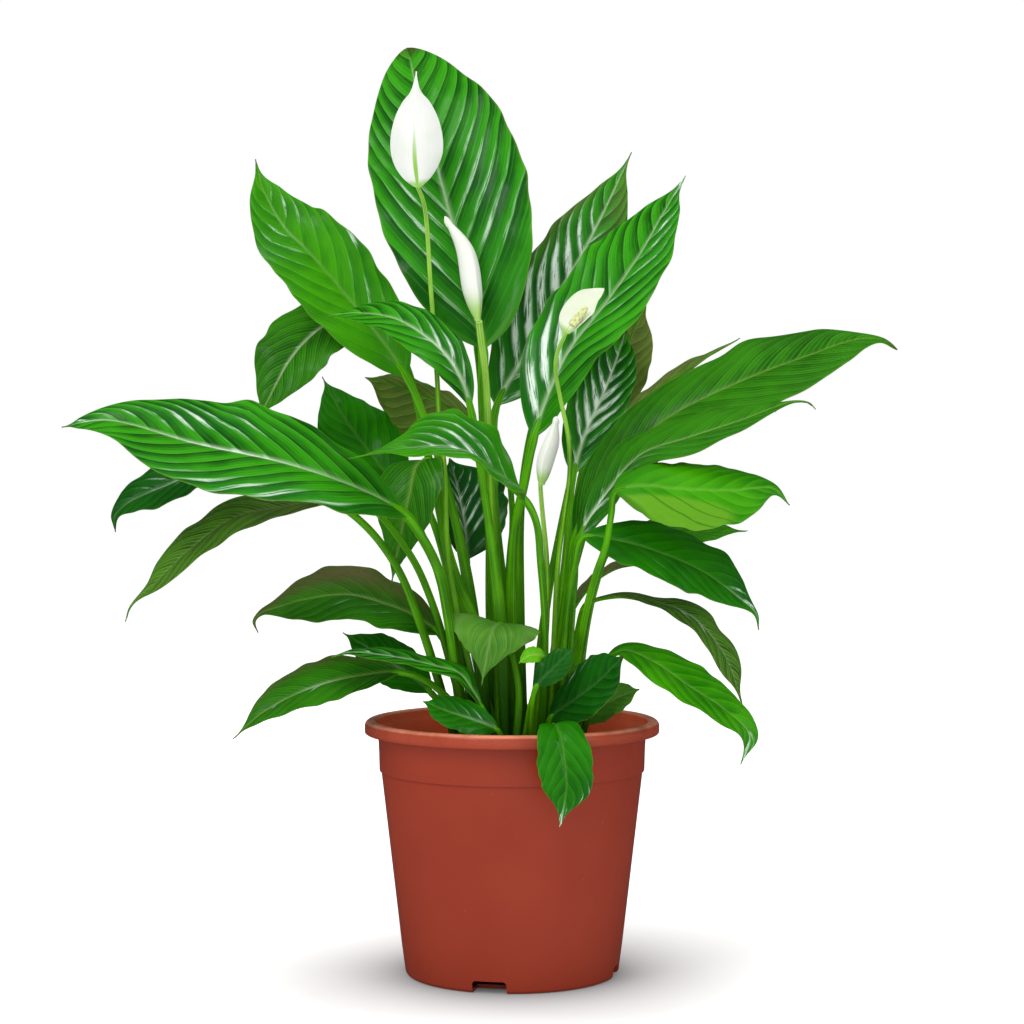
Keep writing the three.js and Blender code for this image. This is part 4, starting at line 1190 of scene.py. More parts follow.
class Growth(Wiring):
    """A geometry node tree that covers a piece with many small ones."""

    def __init__(self, name: str, **given: float) -> None:
        """Start the tree with its named inputs.

        Args:
            name: the tree's name.
            **given: its inputs, such as lengths in metres, counts and seeds.
        """
        super().__init__(bpy.data.node_groups.new(name, "GeometryNodeTree"))
        face = self.tree.interface
        for way in ("OUTPUT", "INPUT"):
            face.new_socket("Geometry", in_out=way, socket_type="NodeSocketGeometry")
        self.given = given
        for key, value in given.items():
            kind = "NodeSocketInt" if isinstance(value, int) else "NodeSocketFloat"
            face.new_socket(key, in_out="INPUT", socket_type=kind)
        self.inputs = self.tree.nodes.new("NodeGroupInput").outputs
        self.output = self.tree.nodes.new("NodeGroupOutput")

    def applied(self, obj: bpy.types.Object, grown: Socket, finish: Finish, alone: bool) -> bpy.types.Mesh:
        """Close the tree, run it on an object and take the plain mesh.

        Args:
            obj: what the small pieces grow on; it is removed afterwards.
            grown: the instances.
            finish: the finish that they get.
            alone: whether the mesh leaves out what they grow on.

        Returns:
            The mesh.
        """
        real = self.node("GeometryNodeRealizeInstances", grown).outputs[0]
        dressed = self.node("GeometryNodeSetMaterial", real, None, made(finish)).outputs[0]
        if not alone:
            both = self.node("GeometryNodeJoinGeometry")
            self.feed(both.inputs[0], self.inputs["Geometry"])
            self.feed(both.inputs[0], dressed)
            dressed = both.outputs[0]
        self.feed(self.output.inputs[0], dressed)
        modifier = obj.modifiers.new(self.tree.name, "NODES")
        modifier.node_group = self.tree
        for item in self.tree.interface.items_tree:
            if item.in_out == "INPUT" and item.name in self.given:
                modifier[item.identifier] = self.given[item.name]
        mesh = evaluated(obj)
        bpy.data.objects.remove(obj)
        return mesh

    def sown(self, points: Socket, piece: Socket, **inputs: Input) -> Socket:
        """Return a copy of a small piece on every point."""
        on_points = self.node("GeometryNodeInstanceOnPoints")
        return self.fill(on_points, Points=points, Instance=piece, **inputs).outputs[0]

    def chosen(self, low: Vec3, high: Vec3, seed: Input) -> Socket:
        """Return a random vector between two for every point."""
        random = self.node("FunctionNodeRandomValue", low, high, data_type="FLOAT_VECTOR")
        return self.fill(random, Seed=seed).outputs[0]

    def spiral(self, core: bpy.types.Object) -> bpy.types.Mesh:
        """Set florets around an upright core, each a golden angle on from the last.

        Args:
            core: the rod that stands on the origin.

        Returns:
            The mesh of core and florets.
        """
        index = self.node("GeometryNodeInputIndex").outputs[0]
        share = self.math("DIVIDE", self.plus(index, 0.5), self.inputs["Count"])
        turn = self.times(index, math.radians(137.508))
        closing = self.math("SUBTRACT", 1.0, self.math("POWER", share, 5.0))
        swell = self.times(self.math("SQRT", closing), self.inputs["Radius"])
        x, y = (self.times(swell, self.math(kind, turn)) for kind in ("COSINE", "SINE"))
        place = self.vector(x, y, self.times(share, self.inputs["Length"]))
        points = self.node("GeometryNodePoints", self.inputs["Count"], place).outputs[0]
        ball = self.node("GeometryNodeMeshUVSphere", 8, 5, self.inputs["Floret"]).outputs[0]
        smoothed = self.node("GeometryNodeSetShadeSmooth", ball).outputs[0]
        return self.applied(core, self.sown(points, smoothed), SPIKE, alone=False)

    def scattered(self, ground: bpy.types.Object, finish: Finish, squash: float) -> bpy.types.Mesh:
        """Strew small lumps over a surface.

        Args:
            ground: what they lie on.
            finish: the finish that they get.
            squash: their height over their length.

        Returns:
            The mesh of the lumps alone.
        """
        seed = self.inputs["Seed"]
        spread = self.node("GeometryNodeDistributePointsOnFaces")
        self.fill(spread, Mesh=self.inputs["Geometry"], Density=self.inputs["Density"], Seed=seed)
        lump = self.node("GeometryNodeMeshIcoSphere", self.inputs["Size"], 1).outputs[0]
        turned = self.chosen((0, 0, 0), (6.3, 6.3, 6.3), seed)
        sized = self.chosen((0.3, 0.3, 0.3 * squash), (1.3, 1.0, squash), self.plus(seed, 7.0))
        grown = self.sown(spread.outputs["Points"], lump, Rotation=turned, Scale=sized)
        return self.applied(ground, grown, finish, alone=True)


# ------------------------------------------------------------------ flowers


@dataclass(frozen=True)
class Spike:
    """The fleshy spike in a hood, packed with florets along a closing spiral."""

    start: Vec3
    end: Vec3
    radius: float
    florets: int
    floret: float = 0.85

    section = (  # share of the length, share of the radius
        (0, 0.35), (0.03, 0.62), (0.12, 0.9), (0.3, 0.97), (0.5, 1),
        (0.7, 0.97), (0.85, 0.86), (0.94, 0.66), (0.985, 0.4), (1, 0.12),
    )
    core = 0.86  # radius of the core under the florets, over the spike's

    def build(self, name: str) -> bpy.types.Object:
        """Grow florets on a core that stands on the origin, then lay it in place.

        Args:
            name: the spike's name.

        Returns:
            The finished object.
        """
        start, end = Vector(self.start) * MM, Vector(self.end) * MM
        length = (end - start).length
        v, wide = np.array(self.section, float).T
        turn = turns(16)
        ring = np.stack([np.sin(turn), np.cos(turn), 0 * turn], axis=-1)
        radius = self.core * self.radius * MM * wide
        rings = ring[None] * radius[:, None, None] + UP * (v * length)[:, None, None]
        shell = Shell()
        shell.tube(rings[:, ::-1], v)
        sizes = {"Length": length, "Radius": self.radius * MM, "Floret": self.floret * MM}
        mesh = Growth("florets", Count=self.florets, **sizes).spiral(shell.piece("core", SPIKE))
        mesh.transform(Matrix.Translation(start) @ (end - start).to_track_quat("Z", "Y").to_matrix().to_4x4())
        return placed(name, mesh, SPIKE)


@dataclass(frozen=True)
class Flower:
    """One flower: its stalk, the white hood and the spike inside."""

    name: str
    stalk: Points
    rib: Points  # along the back of the hood, from base to tip
    face: Vec3  # where the open side looks
    width: float
    widest: float
    full: float
    drip: float
    fold: float
    curl: float
    stem: float
    spike: Spike
    back: HoodFinish = HOOD_BACK
    tail: float = 0  # how much the last part is drawn out thin

    ripple = 0.05  # height of the margin's waves, over the half-width
    thickness = 0.6 * MM
    rib_height = 0.5 * MM  # how far the midrib stands out at the back
    rows = 70
    columns = 49

    def hood_place(self, v: Rows, s: Rows, lift: float) -> Rows:
        """Return places on the hood.

        Args:
            v: shares of the length.
            s: shares of the half-width, below 0 on the left.
            lift: share of the thickness above the middle of the sheet.

        Returns:
            The places, in metres.
        """
        route = Route(self.rib)
        heading = route.heading(v * route.length)
        normal = facing((self.face, self.face), v, heading)
        least = blend(np.minimum(1, 4 * v), 0.42 * self.stem, 0.4)
        thin = 1 - self.tail * smooth(v, 0.76, 0.86)
        half = np.maximum(self.width / 2 * outline(v, self.widest, self.full, self.drip) * thin, least) * MM
        wrapped = np.minimum(1, half / (5 * MM))
        sign, r = np.where(s < 0, -1.0, 1.0), np.abs(s)
        fold, curl = math.radians(self.fold) * wrapped, math.radians(self.curl) * wrapped
        across, up = bent(half, r, fold, curl)
        turn = FULL_TURN * (1.7 * v + 0.3 * sign + 0.1 * len(self.name))
        up = up + self.ripple * half * r**3 * np.sin(turn)
        height = lift * self.thickness * np.ones_like(v)
        if lift < 0:
            height = height - self.rib_height * np.exp(-((r * half / (1.1 * MM)) ** 2)) * (1 - v)
        frames = Frames(route.at(v * route.length), np.cross(heading, normal), normal)
        return frames.laid(sign, across, up, fold + curl * r, height)

    def hood(self) -> bpy.types.Object:
        """Make the hood.

        Returns:
            The hood's object.
        """
        v = (1 - np.cos(np.pi * np.arange(self.rows + 1) / self.rows))[:, None] / 2
        v, s = np.broadcast_arrays(v, np.linspace(-1, 1, self.columns)[None, :])
        across = np.stack([(s + 1) / 2, v], axis=-1)
        shell = Shell()
        inner, outer = (self.hood_place(v, s, lift) for lift in (0.5, -0.5))
        shell.sheet(inner, outer, {"blade": (across, np.zeros(2))})
        return shell.piece(f"hood_{self.name}_grown", HOOD_INSIDE, self.back)

    def stalk_rod(self) -> bpy.types.Object:
        """Make the stalk.

        Returns:
            The stalk's object.
        """
        route = Route((*self.stalk, self.rib[0]))
        share = np.linspace(0, 1, 90)
        radius = self.stem / 2 * MM * blend(share, 1.2, 0.78)
        shell = Shell()
        shell.rod(route.at(share * route.length), route.heading(share * route.length), (0, -1, 0), radius, 20)
        return shell.piece(f"flower_stalk_{self.name}_grown", FLOWER_STALK)

    def build(self) -> None:
        """Make stalk, hood and spike, and put them in place of their solids."""
        hood, stalk = self.hood(), self.stalk_rod()
        spike = self.spike.build(f"spadix_{self.name}_grown")
        handed_in(stalk, "stalk", f"flower_stalk_{self.name}")
        handed_in(hood, "spathe", f"spathe_{self.name}")
        handed_in(spike, "spadix", f"spadix_{self.name}")


# ------------------------------------------------------------------ pot and soil


def lathe(name: str, profile: Section, sides: int, finish: Finish, sharp: float) -> bpy.types.Object:
    """Turn a profile about the upright axis into a closed solid.

    Args:
        name: the object's name.
        profile: its corners in millimetres, from the axis to the axis.
        sides: how many steps make the full turn.
        finish: its finish.
        sharp: edges bent by more degrees than this stay sharp.

    Returns:
        The object.
    """
    radius, height = (np.array(c)[:, None, None] * MM for c in zip(*profile[1:-1]))
    turn = turns(sides)
    ring = np.stack([np.cos(turn), np.sin(turn), 0 * turn], axis=-1)
    shell = Shell()
    shell.tube(ring[None] * radius + UP * height, np.linspace(0, 1, len(radius)))
    return shell.piece(name, finish, sharp=sharp)


@dataclass(frozen=True)
class Pot:
    """Moulded round nursery pot with a rolled rim, a stacking ledge and a notched foot."""

    height: float = 164
    rim_radius: float = 95
    mouth_radius: float = 87.5  # inside the rim
    lip_height: float = 8.4  # of the rolled rim
    rounding: float = 3.6  # of the rim's outer edge
    neck_radius: float = 86.4  # under the rim
    ledge: float = 132  # height of the stacking ledge
    ledge_step: float = 1
    foot_radius: float = 69
    foot_rounding: float = 3
    wall: float = 2.2  # thickness
    floor: float = 2.5  # thickness
    notch: Vec3 = (22, 8, 17)  # width, height, depth
    notch_rounding: float = 2.5
    bearings: tuple[float, ...] = (-102, -12, 78, 168)  # of the notches, in degrees
    sides: int = 240
    sharp: float = 35  # edges bent by more degrees than this stay sharp

    def outer(self, height: float) -> float:
        """Return the wall's outer radius at a height under the ledge."""
        return float(blend(height / self.ledge, self.foot_radius, self.neck_radius - 2 * self.ledge_step))

    def arc(self, x: float, y: float, radius: float, start: float, end: float) -> Section:
        """Return points of a rounded corner about a middle, from one angle to another in degrees."""
        angles = np.radians(np.linspace(start, end, 7))
        return [(x + radius * math.cos(a), y + radius * math.sin(a)) for a in angles]

    def profile(self) -> Section:
        """Return the wall's section, up the outside and down the inside.

        Returns:
            Its corners.
        """
        lip, ledge = self.height - self.lip_height, self.ledge
        rim, mouth, neck, foot = self.rim_radius, self.mouth_radius, self.neck_radius, self.foot_rounding
        inner = self.floor + 3
        return [
            (0, 0),
            (40, 0),
            *self.arc(self.foot_radius - foot, foot, foot, -88, -8),
            *((self.outer(h), h) for h in (20, 50, 80, 110)),
            (self.outer(ledge - 1.4), ledge - 1.4),
            (self.outer(ledge) - 0.25, ledge - 0.9),
            (self.outer(ledge) - 0.25, ledge - 0.5),
            (neck - self.ledge_step, ledge - 0.3),
            (neck - self.ledge_step + 0.1, ledge + 0.5),
            (neck - 0.6, 0.5 * (ledge + lip)),
            *self.arc(neck + 1, lip - 1, 1, 180, 95),
            *self.arc(rim - 1.2, lip + 1.2, 1.2, -85, 0),
            *self.arc(rim - self.rounding, self.height - self.rounding, self.rounding, 0, 90),
            *self.arc(mouth + 1.8, self.height - 1.8, 1.8, 90, 178),
            (mouth - 0.5, lip + 4),
            (mouth - 1.4, lip + 1),
            (neck - self.wall, lip - 5),
            (self.outer(ledge) - self.wall, ledge - 1),
            (self.outer(80) - self.wall, 80),
            (self.outer(inner) - self.wall, inner),
            *self.arc(self.outer(inner) - self.wall - 3, inner, 3, -10, -85),
            (40, self.floor),
            (0, self.floor),
        ]

    def cutter(self) -> bpy.types.Object:
        """Make the four rounded blocks that cut the notches.

        Returns:
            One object of them all.
        """
        width, top, depth = self.notch
        corner = self.notch_rounding
        arch = [(-width / 2, -4.0), (width / 2, -4.0)]
        arch += self.arc(width / 2 - corner, top - corner, corner, 0, 90)
        arch += self.arc(corner - width / 2, top - corner, corner, 90, 180)
        flat = np.array(arch) * MM
        reach = np.array([self.foot_radius - depth, self.foot_radius + 9])[:, None, None] * MM
        shell = Shell()
        for turn in np.radians(self.bearings):
            out = np.array([math.cos(turn), math.sin(turn), 0])
            side = np.array([-math.sin(turn), math.cos(turn), 0])
            shell.tube(out * reach + side * flat[:, :1] + UP * flat[:, 1:], np.array([0.0, 1.0]))
        return shell.piece("cutter", POT_PLASTIC)

    def build(self) -> None:
        """Make the pot and put it in place of its solid."""
        body = lathe("pot_blank", self.profile(), self.sides, POT_PLASTIC, self.sharp)
        cutter = self.cutter()
        cut = body.modifiers.new("notches", "BOOLEAN")
        cut.operation = "DIFFERENCE"
        cut.solver = "EXACT"
        cut.object = cutter
        mesh = evaluated(body)
        for spare in (body, cutter):
            bpy.data.objects.remove(spare)
        mesh.set_sharp_from_angle(angle=math.radians(self.sharp))
        handed_in(placed("pot_moulded", mesh, POT_PLASTIC), "pot", "pot")


@dataclass(frozen=True)
class Soil:
    """Moist potting mix, mounded to the middle of the pot."""

    crown: float = 150.5  # height of the middle
    reach: float = 81  # radius of the mound
    # radius and height of each corner: below the mound's edge, and from there to its middle
    foot: tuple[tuple[float, float], ...] = ((0, 2.8), (44, 2.8), (50, 9), (66.3, 9), (79, 118), (80.6, 130))
    mound: tuple[tuple[float, float], ...] = (
        (81, 134), (78, 135), (72, 137), (66, 139), (58, 141), (50, 144), (42, 146.6),
        (34, 148.5), (26, 149.4), (18, 150), (9, 150.4),
    )
    uneven_from: float = 132.5  # height over which the top is uneven
    uneven: float = 2.2  # how far up and down
    fibres: int = 170

    def body(self) -> bpy.types.Object:
        """Make the closed mound, its top uneven.

        Returns:
            The mound's object.
        """
        corners = np.array(self.mound)
        fine = [tuple(blend(k / 3, a, b)) for a, b in zip(corners, corners[1:]) for k in range(3)]
        profile = [*self.foot, *fine, self.mound[-1], (2, self.crown), (0, self.crown)]
        obj = lathe("soil_mound", profile, 180, EARTH, 80)
        for vertex in obj.data.vertices:
            if vertex.co.z > self.uneven_from * MM:
                edge = 6 * (1.02 - vertex.co.xy.length / (self.reach * MM))
                vertex.co.z += noise.fractal(vertex.co * 90, 0.8, 2.2, 4) * self.uneven * MM * min(1, edge)
        return obj

    def top(self) -> bpy.types.Object:
        """Make a copy of the mound's upper side, for crumbs to lie on.

        Returns:
            Its object.
        """
        profile = [(r, h + 0.4) for r, h in self.mound]
        grid = np.array([[(r * math.cos(a), r * math.sin(a), h) for a in turns(48)] for r, h in profile])
        shell = Shell()
        points = shell.points_added(grid * MM)
        shell.faces_added(picked(points, quads(*points.shape, closed=True)), 0)
        return shell.piece("soil_top", EARTH)

    def coir(self) -> bpy.types.Object:
        """Make thin bent coir fibres that lie on the mound.

        Returns:
            One object of them all.
        """
        chance = np.random.default_rng(11)
        radii, heights = np.array(self.mound[::-1]).T
        along = np.linspace(-0.5, 0.5, 7)[:, None]
        shell = Shell()
        for _ in range(self.fibres):
            bearing, far = chance.uniform(0, FULL_TURN), 78 * math.sqrt(chance.uniform(0.02, 1))
            middle = np.array([far * math.cos(bearing), far * math.sin(bearing)])
            way = chance.uniform(0, FULL_TURN)
            reach = chance.uniform(4, 13)
            bend = chance.uniform(-0.5, 0.5) * (0.25 - along**2)
            ahead = np.array([math.cos(way), math.sin(way)])
            aside = np.array([-math.sin(way), math.cos(way)])
            flat = middle + reach * (along * ahead + bend * aside)
            height = np.interp(np.linalg.norm(flat, axis=1), radii, heights) + 0.8
            line = np.column_stack([flat, height + chance.uniform(-0.3, 1.2, 7)]) * MM
            shell.rod(line, unit(np.gradient(line, axis=0)), (0, 0, 1), chance.uniform(0.15, 0.4) * MM, 5)
        return shell.piece("soil_fibres", COIR)

    def build(self) -> None:
        """Make the mound and what lies on it, and put them in place of the soil's solid."""
        crumbs = Growth("crumbs", Density=150000.0, Size=1.5 * MM, Seed=3)
        grit = Growth("grit", Density=2600.0, Size=1.1 * MM, Seed=8)
        handed_in(self.body(), "soil", "soil")
        handed_in(placed("soil_crumbs", crumbs.scattered(self.top(), EARTH, 0.9), EARTH), "soil")
        handed_in(placed("soil_grit", grit.scattered(self.top(), GRIT, 0.8), GRIT), "soil")
        handed_in(self.coir(), "soil")


# ------------------------------------------------------------------ studio


def looking(way: Vec3 | Vector) -> Euler:
    """Return how a lamp is turned that shines in a direction."""
    return Vector(way).to_track_quat("-Z", "Y").to_euler()


@dataclass(frozen=True)
class Lamp:
    """A soft square lamp that looks at the plant."""

    name: str
    place: Vec3
    size: tuple[float, float]
    power: float
    mirrored: bool = True  # whether glossy surfaces show it
    aim: Vec3 = (0, 0, 0.3)

    def build(self) -> None:
        """Hang the lamp."""
        light = bpy.data.lights.new(self.name, "AREA")
        light.shape = "RECTANGLE"
        light.size, light.size_y = self.size
        light.energy = self.power
        turn = looking(Vector(self.aim) - Vector(self.place))
        stood(self.name, light, self.place, turn).visible_glossy = self.mirrored


@dataclass(frozen=True)
class Studio:
    """A pale room with soft lamps, and the camera at the photograph's angle."""

    eye: Vec3 = (0, -1.626, 0.346)
    tilt: float = 1.70  # degrees down
    lens: float = 88.77
    sensor: float = 36
    sky_power: float = 1.6
    sky_spread: float = 70  # degrees
    sky_way: Vec3 = (0.35, 0.55, -0.75)
    shadow: float = 0.62  # how much the floor darkens at the foot of the pot
    shadow_from: float = 0.07  # distance from the pot's axis, in metres
    shadow_reach: float = 0.055  # how far it fades, in metres
    lamps: tuple[Lamp, ...] = (
        Lamp("key", (-1.2, -1.5, 2.0), (0.8, 0.8), 9),
        Lamp("overhead", (0.25, 0.45, 2.2), (1.0, 1.0), 14, mirrored=False),
        Lamp("strip", (1.6, -1.1, 0.9), (0.25, 1.5), 6),
        Lamp("front", (0.1, -2.6, 0.5), (1.4, 1.0), 8, mirrored=False),
        Lamp("behind", (-0.8, 1.5, 0.7), (1.4, 0.6), 7, mirrored=False),
    )

    def camera(self) -> None:
        """Set the camera up."""
        data = bpy.data.cameras.new("camera")
        data.lens, data.sensor_width = self.lens, self.sensor
        turn = (math.radians(90 - self.tilt), 0, 0)
        bpy.context.scene.camera = stood("camera", data, self.eye, turn)

    def floor(self) -> None:
        """Lay the white floor."""
        s = Sheet("floor_white")
        far = s.node("ShaderNodeVectorMath", s.place, operation="LENGTH").outputs["Value"]
        fall = s.math("DIVIDE", s.math("SUBTRACT", self.shadow_from, far), self.shadow_reach)
        level = s.scaled(s.math("POWER", math.e, fall), -self.shadow, 1.0)
        s.colour = s.mix(level, (0, 0, 0, 1), (0.8, 0.8, 0.8, 1))
        material = s.finish(1.0, 0.0, Emission_Color=(1, 1, 1, 1), Emission_Strength=s.times(level, 0.38))
        mesh = bpy.data.meshes.new("floor")
        mesh.from_pydata([(-9, -9, 0), (9, -9, 0), (9, 9, 0), (-9, 9, 0)], [], [(0, 1, 2, 3)])
        mesh.materials.append(material)
        floor = stood("floor", mesh)
        floor.visible_glossy = False

    def air(self) -> None:
        """Fill the room with soft white light."""
        world = bpy.data.worlds.new("room")
        world.use_nodes = True
        wires = Wiring(world.node_tree)
        path = wires.node("ShaderNodeLightPath").outputs
        level = wires.math("MAXIMUM", wires.scaled(path["Is Glossy Ray"], -0.4, 0.45), path["Is Camera Ray"])
        wires.fill(wires.tree.nodes["Background"], Color=(1, 1, 1, 1), Strength=level)
        bpy.context.scene.world = world

    def sky(self) -> None:
        """Hang a very wide, even light high on the left."""
        light = bpy.data.lights.new("sky", "SUN")
        light.angle = math.radians(self.sky_spread)
        light.energy = self.sky_power
        stood("sky", light, turn=looking(self.sky_way)).visible_glossy = False

    def build(self) -> None:
        """Set up the room."""
        self.sky()
        self.camera()
        self.floor()
        self.air()
        for lamp in self.lamps:
            lamp.build()
        bpy.context.scene.view_settings.view_transform = "Standard"


# ------------------------------------------------------------------ the plant's pieces

